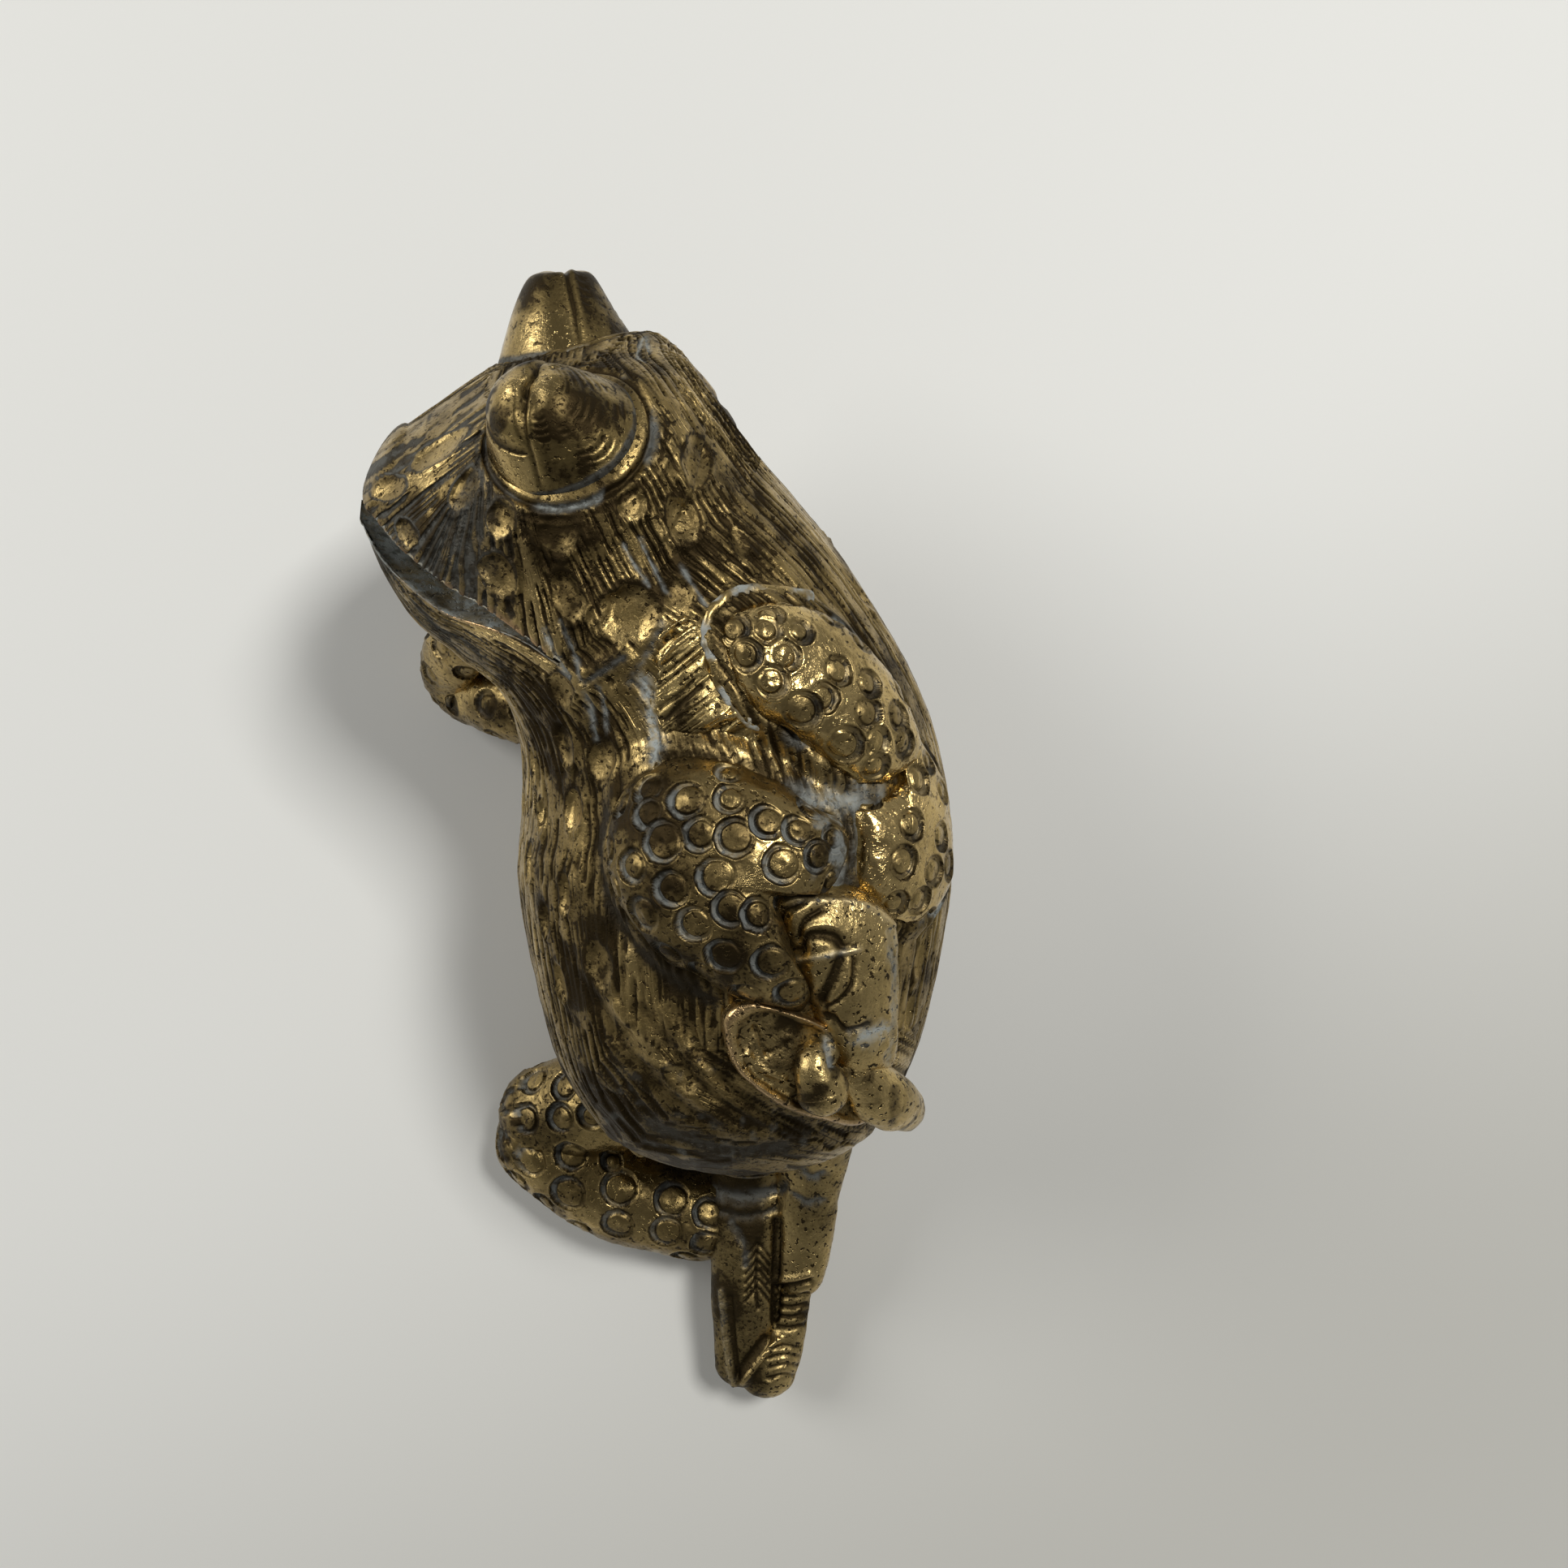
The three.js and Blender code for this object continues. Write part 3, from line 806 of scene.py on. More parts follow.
@dataclass
class SkinMarks:
    """Thumb marks and cut lines of the skin, shared by the torso, the head and the jaw."""

    dimples: Sequence[Dimple]
    grooves: Sequence[Groove]

    def apply(self, sheet: Sheet) -> Array:
        """Marks a grid.

        Args:
            sheet: Grid of skin points.

        Returns:
            Height for each point.
        """
        height = np.zeros(sheet.points.shape[:2])
        places = TOAD.seen_at([mark[:2] for mark in self.dimples])
        for mark, place in zip(self.dimples, places):
            height += self.press(sheet, mark, place)
        return height + carve(sheet, self.grooves)

    def press(self, sheet: Sheet, mark: Dimple, place: Array) -> Array:
        """Height of one thumb mark.

        The oval radius is measured in the skin's plane. Inside it the floor sinks as a
        smooth dish, deeper towards the picture's top, and a soft lip stands round it.
        A dark ring is painted round its edge, darkest along the upper edge as painted
        shade, and the lower part of the floor is painted bright as a highlight.

        Args:
            sheet: Grid of skin points.
            mark: The thumb mark.
            place: Its station and turn.

        Returns:
            Height for each point.
        """
        centre = TOAD.point(place[0], place[1])
        out = TOAD.outward(place[0], place[1])
        tilt = np.radians(mark.tilt)
        long = np.array([np.cos(tilt), np.sin(tilt), 0.0])
        long = unit(long - out * (long @ out))
        wide = np.cross(out, long)
        offset = sheet.points - centre
        near = (offset**2).sum(-1) < (2.0 * mark.long) ** 2
        oval = np.hypot(offset @ long / mark.long, offset @ wide / mark.wide)
        oval = oval * (1 + 0.14 * sheet.noise(1.4, Seed.DIMPLE_SHAPE))
        oval = oval + 0.05 * sheet.noise(0.6, Seed.DIMPLE_EDGES)
        upper = np.clip((offset @ unit(np.array(DIMPLE_DEEP_END))) / mark.long, -1, 1)
        floor = -DIMPLE_FLOOR * mark.deep * (0.8 + 0.5 * upper) * ease(oval, 1.04, 0.45)
        lip = DIMPLE_LIP * mark.deep * hump(oval, 1.14, 0.14) * (1 - upper)
        inside = np.where(near, ease(oval, 1.1, 0.9), 0)
        sheet.wipe(Mark.LINES, inside)
        # Painted shade along the edge, darkest on the upper side, and a painted highlight low on the floor
        edge = hump(oval, 0.98, 0.1) * np.clip(0.5 + 0.5 * upper, 0, 1) + 0.5 * hump(oval, 1.0, 0.06)
        sheet.stain(Mark.PATINA_AND_SHADE, np.where(near, 0.85 * edge, 0))
        sheet.stain(Mark.WORN_AND_HIGHLIT, inside * np.clip(-0.6 * upper, 0, 1) * hump(oval, 0.85, 0.3))
        return np.where(near, floor + lip, 0)


SKIN_MARKS = SkinMarks(DIMPLES, GROOVES)


class Guide(NamedTuple):
    """Engraved line of the head in the picture: where it starts and columns moved per row."""

    column: float
    row: float
    slope: float


GUIDES = (
    Guide(430, 330, -1.45), Guide(540, 500, -1.45), Guide(560, 575, -1.40), Guide(566, 605, -0.60),
    Guide(580, 605, -0.20), Guide(622, 605, 0.20), Guide(700, 605, 0.48), Guide(790, 580, 0.62),
    Guide(862, 560, 0.72), Guide(925, 540, 0.74), Guide(1100, 400, 0.74),
)


@dataclass(frozen=True)
class HeadLines:
    """Lines that fan out over the head and run on along the body behind the neck."""

    guides: tuple[Guide, ...]
    between: int = 14

    def number(self, points: Array) -> Array:
        """Guide number of each point, counted in fractions between the guides.

        Args:
            points: Points in the figure's frame.

        Returns:
            Numbers from 0 at the first guide.
        """
        seen = photo_pixels(points)
        steps = (len(self.guides) - 1) * self.between
        rows = smooth_run(np.array(self.guides), np.linspace(0, len(self.guides) - 1, steps + 1))
        ahead = unit(np.stack([rows[:, 2], np.ones(len(rows))], -1))
        beside = [
            (seen[..., 0] - column) * d[1] - (seen[..., 1] - row) * d[0]
            for (column, row, _), d in zip(rows, ahead)
        ]
        total = np.zeros(seen.shape[:-1])
        for near, far in zip(beside[:-1], beside[1:]):
            total += np.clip(near / np.maximum(near - far, 1e-3), 0, 1)
        return total / self.between

    def across(self, points: Array) -> Array:
        """Place across the lines, which meets the torso's lines at the neck.

        Args:
            points: Points on the head.

        Returns:
            Millimetres across the lines.
        """
        turn = np.arange(*NECK_TURNS)
        neck = self.number(TOAD.point(np.full(turn.shape, NECK_STATION), turn))
        girth = np.radians(turn) * FLOW_GIRTH
        last = len(self.guides) - 1.0
        knots = np.concatenate([[0.0], neck, [last]])
        low, high = girth[0] - GUIDE_ROOM * neck[0], girth[-1] + GUIDE_ROOM * (last - neck[-1])
        order = np.argsort(knots)
        return np.interp(self.number(points), knots[order], np.concatenate([[low], girth, [high]])[order])


HEAD_LINES = HeadLines(GUIDES)


def skin_flow(points: Array, station: Array, turn: Array, fan: bool) -> Array:
    """Flow of the engraved lines: along the body, or fanning out over the head.

    Args:
        points: Grid of points.
        station: Station of each point.
        turn: Turn of each point.
        fan: Whether the lines fan out from the eye.

    Returns:
        Millimetres along and across the lines, for each point.
    """
    across = np.radians(turn) * FLOW_GIRTH
    if fan:
        hidden = ease(turn, *FAN_FADE)
        across = HEAD_LINES.across(points) * (1 - hidden) + across * hidden
    return np.stack([station * FLOW_STATION, across], -1)


class Stroke(NamedTuple):
    """Pattern of cut strokes: pitch, length and depth in millimetres, and a gate from -1 to 1."""

    pitch: float
    length: float
    depth: float
    gate: float
    seed: Seed


BOLD = Stroke(1.15, 6.0, 0.38, -0.15, Seed.BOLD_STROKES)
FINE = Stroke(0.7, 4.0, 0.16, 0.05, Seed.FINE_STROKES)


def strokes(flow: Array, kind: Stroke) -> Array:
    """Strokes cut along the flow, each with its own width, start and end.

    Args:
        flow: Millimetres along and across the lines.
        kind: Pattern of the strokes; a lower gate starts more of them.

    Returns:
        Values from 0 beside the strokes to 1 in their middles.
    """
    along, across = flow[..., 0], flow[..., 1]
    sway = 0.8 * plane_noise(along / 15, across / 6, kind.seed)
    sway += 0.2 * plane_noise(along / 2.5, across / 1.2, kind.seed + 1)
    phase = across / kind.pitch + sway
    number = np.floor(phase)
    offset = np.abs(phase - number - 0.5)
    wide = 0.22 + 0.1 * plane_noise(along / 3, number * 3.71 + 0.5, kind.seed + 2)
    started = plane_noise(along / kind.length, number * 5.37 + 0.5, kind.seed + 3)
    return ease(started, kind.gate, kind.gate + 0.2) * ease(offset, wide + 0.1, wide - 0.1)


def engrave(sheet: Sheet, calm: Array | float = 0.0) -> Array:
    """Cuts the lines of the skin: broad folds, bold strokes and finer ones.

    Args:
        sheet: Grid of skin points with its flow and its mark of lines.
        calm: Share of the broad folds that is left out.

    Returns:
        Height for each point.
    """
    flow, lines = sheet.flow, sheet.marks[Mark.LINES]
    broad = plane_noise(flow[..., 0] / FOLD_LONG, flow[..., 1] / FOLD_WIDE, Seed.FOLDS) * (1 - calm)
    lumps = sheet.noise(LUMP_SIZE, Seed.LUMPS)
    bold = strokes(flow, BOLD) * lines
    fine = strokes(flow, FINE) * lines
    cuts = np.maximum(bold, 0.6 * fine)
    sheet.stain(Mark.PATINA_AND_SHADE, 0.95 * cuts + 0.35 * ease(broad, -0.1, -0.6))
    sheet.stain(Mark.WORN_AND_HIGHLIT, (0.6 * ease(broad, 0.0, 0.6) + 0.3 * ease(lumps, 0.1, 0.6)) * (1 - cuts))
    return FOLD_RISE * broad + LUMP_RISE * lumps - BOLD.depth * bold - FINE.depth * fine


@dataclass(frozen=True)
class Finish:
    """Aged brass with dark hollows, painted shade and highlights, verdigris and engraved lines."""

    name: str
    tone: tuple[float, float, float] = (0.33, 0.235, 0.09)
    bright: tuple[float, float, float] = (0.66, 0.48, 0.20)
    dark: tuple[float, float, float] = (0.020, 0.013, 0.006)
    rough: float = 0.25
    line_depth: float = 0.2
    grain: float = 0.35
    grime: float = 0.7
    pitted: float = 0.5

    @lru_cache(maxsize=None)
    def build(self) -> bpy.types.Material:
        """Makes the material, once for each finish, and wires its nodes.

        Returns:
            The material.
        """
        material = bpy.data.materials.new(self.name)
        material.use_nodes = True
        tree = material.node_tree
        tree.nodes.clear()
        wire = Wire(tree)
        patina_and_shade, worn_and_highlit, verdigris, lines, copper = (wire.attribute(mark.value) for mark in Mark)
        flow = wire.attribute("flow", "Vector")
        place = wire.object_place()

        scratch = wire.strokes(flow, *SCRATCHES)
        scratch = wire.times(scratch, wire.blend(lines, 0.7, worn_and_highlit, 0.2))
        blotch = wire.noise(place, BLOTCHES, 4.0, 0.6)
        grain = wire.noise(place, GRAINS, 3.0, 0.6)
        pit = wire.graded(wire.noise(place, PITS, 2.0, 0.5), 0.41, 0.34)
        cloud = wire.noise(place, CLOUDS, 3.0, 0.55)

        height = wire.inverse(scratch, 0.5)
        height = wire.math("SUBTRACT", height, wire.times(pit, 0.4))
        height = wire.blend(height, 1.0, blotch, 0.5)
        height = wire.blend(height, 1.0, grain, self.grain)
        bump = wire.bump(height, self.line_depth * MM)

        grime = wire.blend(
            wire.graded(blotch, 0.42, 0.66), self.grime, wire.graded(cloud, 0.42, 0.68), self.grime * 0.8
        )
        grime = wire.times(grime, wire.inverse(worn_and_highlit, 0.8))
        soil_and_shade = wire.blend(grime, 1.0, scratch, 0.4)
        soil_and_shade = wire.blend(soil_and_shade, 1.0, pit, self.pitted)
        soil_and_shade = wire.blend(soil_and_shade, 1.0, wire.graded(grain, 0.50, 0.34), 0.25)
        # The mark of patina and painted shade joins the dirt here
        soil_and_shade = wire.math("ADD", soil_and_shade, patina_and_shade, clamp=True)

        # Rubbed brightness, partly a painted highlight, lifts the colour towards the bright tone
        colour = wire.mix(worn_and_highlit, self.tone, self.bright)
        colour = wire.mix(wire.times(copper, 0.8), colour, COPPER_TONE)
        colour = wire.mix(wire.times(soil_and_shade, 0.96), colour, self.dark)
        speckle = wire.graded(wire.noise(place, SPECKLES, 3.0, 0.6), 0.40, 0.55)
        patchy = wire.math("ADD", 0.45, wire.times(speckle, 0.55))
        crust = wire.times(verdigris, patchy)
        colour = wire.mix(crust, colour, CRUST_TONE)

        rough = wire.blend(soil_and_shade, 0.28, blotch, 0.12)
        rough = wire.math("ADD", rough, self.rough)
        rough = wire.math("SUBTRACT", rough, wire.times(worn_and_highlit, 0.13))
        rough = wire.math("ADD", rough, wire.times(crust, 0.4), clamp=True)
        wire.output(colour, wire.inverse(crust, 0.9), rough, bump)
        return material


# Numbers of a mix node's sockets for colours
FIRST_COLOUR = 6
SECOND_COLOUR = 7
MIXED_COLOUR = 2


@dataclass(frozen=True)
class Wire:
    """Short hand for wiring the shader nodes of a tree."""

    tree: bpy.types.NodeTree

    def node(self, kind: str) -> bpy.types.Node:
        """Adds a node of a kind."""
        return self.tree.nodes.new(kind)

    def feed(self, socket: Socket, value: object) -> None:
        """Links an output to a socket or sets a constant on it.

        Args:
            socket: Input socket.
            value: Output socket, number or colour.
        """
        if isinstance(value, Socket):
            self.tree.links.new(value, socket)
        elif isinstance(value, tuple):
            socket.default_value = (*value, 1.0) if len(socket.default_value) == 4 else value
        else:
            socket.default_value = value

    def fill(self, node: bpy.types.Node, values: dict[str | int, object]) -> None:
        """Feeds several inputs of a node, by name or by number."""
        for key, value in values.items():
            self.feed(node.inputs[key], value)

    def attribute(self, name: str, output: str = "Fac") -> Socket:
        """Attribute of the mesh.

        Args:
            name: Attribute's name.
            output: Name of the output that gives it, as a value or as a vector.

        Returns:
            Output socket.
        """
        node = self.node("ShaderNodeAttribute")
        node.attribute_name = name
        return node.outputs[output]

    def object_place(self) -> Socket:
        """Place in the object's own coordinates."""
        return self.node("ShaderNodeTexCoord").outputs["Object"]

    def noise(self, vector: Socket, scale: float, detail: float, rough: float) -> Socket:
        """Noise texture.

        Args:
            vector: Place that is looked up.
            scale: Humps per unit.
            detail: Octaves.
            rough: Share of each finer octave.

        Returns:
            Output socket.
        """
        node = self.node("ShaderNodeTexNoise")
        self.fill(node, {"Vector": vector, "Scale": scale, "Detail": detail, "Roughness": rough})
        return node.outputs["Fac"]

    def math(self, operation: str, a: object, b: object, clamp: bool = False) -> Socket:
        """Result of an operation on two values.

        Args:
            operation: Operation's identifier.
            a: First value.
            b: Second value.
            clamp: Whether the result stays between 0 and 1.

        Returns:
            Output socket.
        """
        node = self.node("ShaderNodeMath")
        node.operation = operation
        node.use_clamp = clamp
        self.fill(node, {0: a, 1: b})
        return node.outputs[0]

    def times(self, a: object, b: object) -> Socket:
        """Product of two values."""
        return self.math("MULTIPLY", a, b)

    def graded(self, value: Socket, low: float, high: float) -> Socket:
        """Smooth step from 0 at low to 1 at high.

        Args:
            value: Value to grade.
            low: Value that gives 0.
            high: Value that gives 1.

        Returns:
            Output socket.
        """
        node = self.node("ShaderNodeMapRange")
        node.interpolation_type = "SMOOTHSTEP"
        first, last = (1.0, 0.0) if low > high else (0.0, 1.0)
        low, high = sorted((low, high))
        self.fill(node, {"Value": value, "From Min": low, "From Max": high})
        self.fill(node, {"To Min": first, "To Max": last})
        return node.outputs["Result"]

    def mix(self, share: object, a: object, b: object) -> Socket:
        """Mix of two colours.

        Args:
            share: Share of the second colour.
            a: First colour.
            b: Second colour.

        Returns:
            Output socket.
        """
        node = self.node("ShaderNodeMix")
        node.data_type = "RGBA"
        self.fill(node, {"Factor": share, FIRST_COLOUR: a, SECOND_COLOUR: b})
        return node.outputs[MIXED_COLOUR]

    def bump(self, height: Socket, depth: float) -> Socket:
        """Normal from a height.

        Args:
            height: Height between 0 and 1.
            depth: Length of one unit of height, in metres.

        Returns:
            Output socket.
        """
        node = self.node("ShaderNodeBump")
        self.fill(node, {"Strength": 1.0, "Distance": depth, "Height": height})
        return node.outputs["Normal"]

    def output(self, colour: object, metal: object, rough: object, normal: object) -> None:
        """Surface shader and output.

        Args:
            colour: Base colour.
            metal: Metallic share.
            rough: Roughness.
            normal: Shading normal.
        """
        shader = self.node("ShaderNodeBsdfPrincipled")
        self.fill(shader, {"Base Color": colour, "Metallic": metal, "Roughness": rough, "Normal": normal})
        out = self.node("ShaderNodeOutputMaterial")
        self.tree.links.new(shader.outputs[0], out.inputs[0])

    def blend(self, a: object, of_a: float, b: object, of_b: float) -> Socket:
        """Weighted sum of two values."""
        return self.math("ADD", self.times(a, of_a), self.times(b, of_b))

    def inverse(self, value: object, share: float) -> Socket:
        """One minus a share of a value."""
        return self.math("SUBTRACT", 1.0, self.times(value, share))

    def strokes(self, flow: object, pitch: float, length: float, gate: float) -> Socket:
        """Engraved strokes along the flow, each with its own start and end.

        Args:
            flow: Flow in millimetres, along and across the strokes.
            pitch: Distance between neighbouring strokes.
            length: Typical length of a stroke.
            gate: Level of the field that starts a stroke; a higher one leaves fewer strokes.

        Returns:
            Output socket, 1 in the middle of a stroke.
        """
        split = self.node("ShaderNodeSeparateXYZ")
        self.feed(split.inputs[0], flow)
        stretch = self.node("ShaderNodeVectorMath")
        stretch.operation = "MULTIPLY"
        self.fill(stretch, {0: flow, 1: (0.06, 0.16, 1.0)})
        warp = self.noise(stretch.outputs[0], 1.0, 1.0, 0.5)
        phase = self.blend(split.outputs["Y"], 1.0 / pitch, warp, 3.0)
        number = self.math("FLOOR", phase, 0.0)
        offset = self.math("ABSOLUTE", self.math("SUBTRACT", self.math("FRACT", phase, 0.0), 0.5), 0.0)
        join = self.node("ShaderNodeCombineXYZ")
        self.feed(join.inputs[0], self.times(split.outputs["X"], 1.0 / length))
        self.feed(join.inputs[1], self.times(number, 3.71))
        on = self.graded(self.noise(join.outputs[0], 1.0, 1.0, 0.5), gate, gate + 0.12)
        return self.times(self.graded(offset, 0.30, 0.06), on)


FINISHES = {
    "brass_body": Finish("aged engraved brass", tone=(0.37, 0.263, 0.10)),
    "brass_limbs": Finish("aged punched brass", line_depth=0.12, rough=0.22),
    "brass_feet": Finish(
        "worn smooth brass", tone=(0.50, 0.37, 0.15), line_depth=0.22, grime=0.5, rough=0.26, pitted=0.9
    ),
    "brass_eyes": Finish(
        "bright worn brass", tone=(0.36, 0.26, 0.10), line_depth=0.12, grime=0.75, rough=0.17
    ),
    "braze": Finish("dull braze", line_depth=0.1, grime=0.6),
}


@dataclass(frozen=True)
class Punch:
    """Punched rings of one casting, on its seen side and spread over the rest.

    A ring that is seen has a column and a row of the picture and its groove's radius.
    """

    rings: tuple[tuple[float, float, float], ...] = ()
    deep_side: float = 0.0
    depth: float = 0.45
    pale: float = 0.3
    round: float = 0.2
    spread: float = 4.2
    seed: int = 5

    def places(self, sheet: Sheet) -> list[tuple[Array, Array, float]]:
        """Centres, outward directions and sizes of the rings.

        Args:
            sheet: Grid that is punched.

        Returns:
            One entry per ring.
        """
        normals = sheet.normals()
        pixels = photo_pixels(sheet.points)
        facing = sheet.facing()
        found = []
        for column, row, size in self.rings:
            gap = ((pixels - np.array([column, row])) ** 2).sum(-1)
            cost = gap + HIDDEN_COST * (facing < 0.05) - HEIGHT_GAIN * sheet.points[..., 2]
            best = np.unravel_index(cost.argmin(), cost.shape)
            if gap[best] < FARTHEST:
                found.append((sheet.points[best], normals[best], size))
        rng = np.random.default_rng(self.seed)
        flat = sheet.points.reshape(-1, 3)
        taken = np.array([place for place, _, _ in found]).reshape(-1, 3)
        hidden = facing.ravel() < (0.3 if len(self.rings) else 2.0)
        for index in rng.permutation(np.flatnonzero(hidden))[:HIDDEN_TRIES]:
            spot = flat[index]
            if len(taken) and ((taken - spot) ** 2).sum(-1).min() < self.spread**2:
                continue
            taken = np.concatenate([taken, spot[None]])
            found.append((spot, normals.reshape(-1, 3)[index], rng.uniform(*HIDDEN_SIZES)))
        return found

    def apply(self, sheet: Sheet) -> Array:
        """Height of the rings.

        Each ring is a round flat-floored groove, wider and deeper on one side, round a low
        boss. A later ring wipes out what it covers of an earlier one.

        Args:
            sheet: Grid that is punched.

        Returns:
            Height for each point.
        """
        height = np.zeros(sheet.points.shape[:2])
        tilt = np.radians(self.deep_side)
        for number, (centre, out, size) in enumerate(self.places(sheet)):
            lean = np.array([np.cos(tilt), np.sin(tilt), 0.0])
            lean = unit(lean - out * (lean @ out))
            offset = sheet.points - centre
            gap = np.sqrt((offset**2).sum(-1))
            near = gap < 2.2 * size
            side = 0.5 + 0.5 * (offset @ lean) / np.maximum(gap, 0.3)
            ragged = np.abs(gap * (1 + 0.06 * noise(offset / 0.8, number)) - size)
            half = RING_HALF + RING_WIDER * side
            sunk = self.round + (1 - self.round) * side
            groove = ease(ragged, half + 0.12, half - 0.1) * sunk
            wall = hump(ragged, half + 0.05, 0.12) * sunk
            boss = np.clip(1 - (gap / (size - half)) ** 2, 0, 1)
            button = (BOSS_RISE * boss - BOSS_LEAN * side) * ease(gap, size + 0.1, size - 0.2)
            dot = DOT_DEPTH * hump(gap, 0.0, 0.3) * (number % 3 == 0)
            rim = RIM_RISE * hump(gap, size + 0.55, 0.2) * side
            share = np.where(near, ease(gap, size + 0.7, size + 0.2), 0)
            height = height * (1 - share) + np.where(near, button + rim - dot - self.depth * groove, 0)
            sheet.wipe(Mark.PATINA_AND_SHADE, share)
            sheet.wipe(Mark.VERDIGRIS, share)
            sheet.stain(Mark.PATINA_AND_SHADE, np.where(near, np.maximum(0.9 * wall, 0.5 * groove) + 2.0 * dot, 0))
            sheet.stain(Mark.VERDIGRIS, np.where(near, self.pale * (groove - 0.7 * wall) * side, 0))
            sheet.wipe(Mark.WORN_AND_HIGHLIT, 0.5 * share)
            sheet.stain(Mark.WORN_AND_HIGHLIT, np.where(near, 9.0 * rim, 0))
        return height


ARM_PUNCH = Punch(
    (
        (904, 774, 1.6), (948, 756, 1.4), (946, 776, 1.4), (986, 778, 1.3), (918, 808, 1.6),
        (968, 808, 1.5), (950, 840, 1.6), (1034, 826, 1.5), (1016, 860, 1.5), (1070, 878, 1.6),
        (1072, 842, 1.4), (1082, 914, 1.5), (990, 876, 1.9), (1080, 946, 1.5), (1108, 882, 1.5),
        (1116, 916, 1.5), (1134, 960, 1.5), (1146, 938, 1.2), (1164, 973, 1.3), (1040, 920, 2.0),
        (1124, 1016, 1.6), (1162, 1030, 1.5), (1114, 1062, 1.7), (1152, 1074, 1.6), (1134, 1110, 1.5),
        (1104, 1114, 1.4),
    ),
    deep_side=-20,
    pale=0.12,
)
LEG_PUNCH = Punch(
    (
        (797, 970, 1.6), (845, 985, 1.9), (900, 950, 1.3), (900, 982, 1.5), (797, 1002, 1.6),
        (862, 1027, 1.7), (815, 1037, 2.1), (906, 1031, 1.9), (947, 1012, 1.7), (985, 1022, 1.6),
        (1000, 994, 1.5), (1032, 1030, 1.5), (1012, 1055, 1.7), (965, 1065, 1.9), (882, 1080, 1.9),
        (827, 1095, 1.8), (777, 1067, 1.7), (792, 1127, 1.8), (855, 1140, 1.8), (900, 1120, 1.8),
        (935, 1127, 1.7), (820, 1180, 1.8), (892, 1180, 1.9), (950, 1187, 1.9), (920, 1227, 1.7),
        (977, 1227, 1.9), (865, 1200, 1.5),
    ),
    deep_side=200,
    depth=0.6,
    pale=0.6,
)
RIGHT_LEG_PUNCH = Punch(
    (
        (657, 1329, 1.9), (695, 1337, 1.9), (624, 1356, 1.6), (647, 1379, 1.9), (690, 1379, 1.9),
        (728, 1375, 1.7), (617, 1412, 1.7), (653, 1431, 2.0), (705, 1422, 2.0), (634, 1456, 1.7),
        (699, 1472, 2.3), (765, 1464, 2.3), (828, 1477, 2.2), (872, 1493, 2.0), (761, 1510, 2.0),
        (822, 1518, 2.0), (649, 1487, 1.6), (713, 1518, 1.7), (867, 1533, 1.7), (755, 1429, 1.3),
    ),
    deep_side=170,
    depth=0.55,
    pale=0.5,
    round=0.5,
)
RIGHT_ARM_PUNCH = Punch(deep_side=180, depth=0.4, pale=0.1, spread=4.8)


class Place(Enum):
    """Ways in which a limb's rows give its places."""

    SKIN = "station, turn and lift"
    TABLE = "x, y and z"
    PICTURE = "column, row and lift"


class Spine(NamedTuple):
    """Samples of a limb's run: place, outward direction and half width."""

    place: Array
    outward: Array
    half: Array


@dataclass(frozen=True)
class Limb:
    """Run of oval sections, on the body's skin or free over the table."""

    rows: tuple[tuple[float, float, float, float], ...]
    flat: float
    by: Place = Place.SKIN

    def spine(self, count: int) -> Spine:
        """Samples along the run.

        Args:
            count: Number of samples.

        Returns:
            The samples.
        """
        rows = np.array(self.rows, float)
        if self.by is Place.PICTURE:
            for row in rows:
                row[:2] = TOAD.seen_at([row[:2]], row[2])[0]
        at = smooth_run(rows, np.linspace(0, len(rows) - 1, count))
        if self.by is Place.TABLE:
            up = np.broadcast_to(np.array([0.0, 0.0, 1.0]), (count, 3))
            return Spine(at[:, :3], up, at[:, 3])
        place = TOAD.point(at[:, 0], at[:, 1], at[:, 2])
        return Spine(place, TOAD.outward(at[:, 0], at[:, 1]), at[:, 3])

    def sheet(self, rows: int, columns: int) -> Sheet:
        """Loft of ovals along the run, with rounded ends.

        Point = place + across * half * cos(angle) + up * half * flat * sin(angle), where
        across is square to the run and to the outward direction. The ends shrink as a
        cosine while they move on as a sine.

        Args:
            rows: Sections along the run.
            columns: Points round a section.

        Returns:
            A closed grid.
        """
        spine = self.spine(rows)
        ahead = unit(np.gradient(spine.place, axis=0))
        across = unit(np.cross(spine.outward, ahead))
        up = np.cross(ahead, across)
        bend = quarter(LIMB_CAP_ROWS)
        reach = spine.half * min(1.0, 1.2 * self.flat)
        start = spine.place[:1] - ahead[:1] * (reach[0] * np.sin(bend))[:, None]
        end = spine.place[-1:] + ahead[-1:] * (reach[-1] * np.sin(bend))[::-1, None]
        place = np.concatenate([start, spine.place, end])
        shrink = np.concatenate([np.cos(bend), np.ones(rows), np.cos(bend)[::-1]])
        pick = np.clip(np.arange(len(place)) - len(bend), 0, rows - 1)
        half = spine.half[pick] * shrink
        angle = np.linspace(-np.pi / 2, 1.5 * np.pi, columns, endpoint=False)[None, :, None]
        wide = (across[pick] * half[:, None])[:, None] * np.cos(angle)
        tall = (up[pick] * (half * self.flat)[:, None])[:, None] * np.sin(angle)
        step = np.linalg.norm(np.diff(place, axis=0), axis=1)
        along = np.concatenate([[0], np.cumsum(step)])[:, None]
        girth = np.linspace(0, 2 * np.pi, columns, endpoint=False)[None] * half.mean()
        flow = np.stack(np.broadcast_arrays(along, girth), -1)
        return Sheet(place[:, None] + wide + tall, flow=flow)


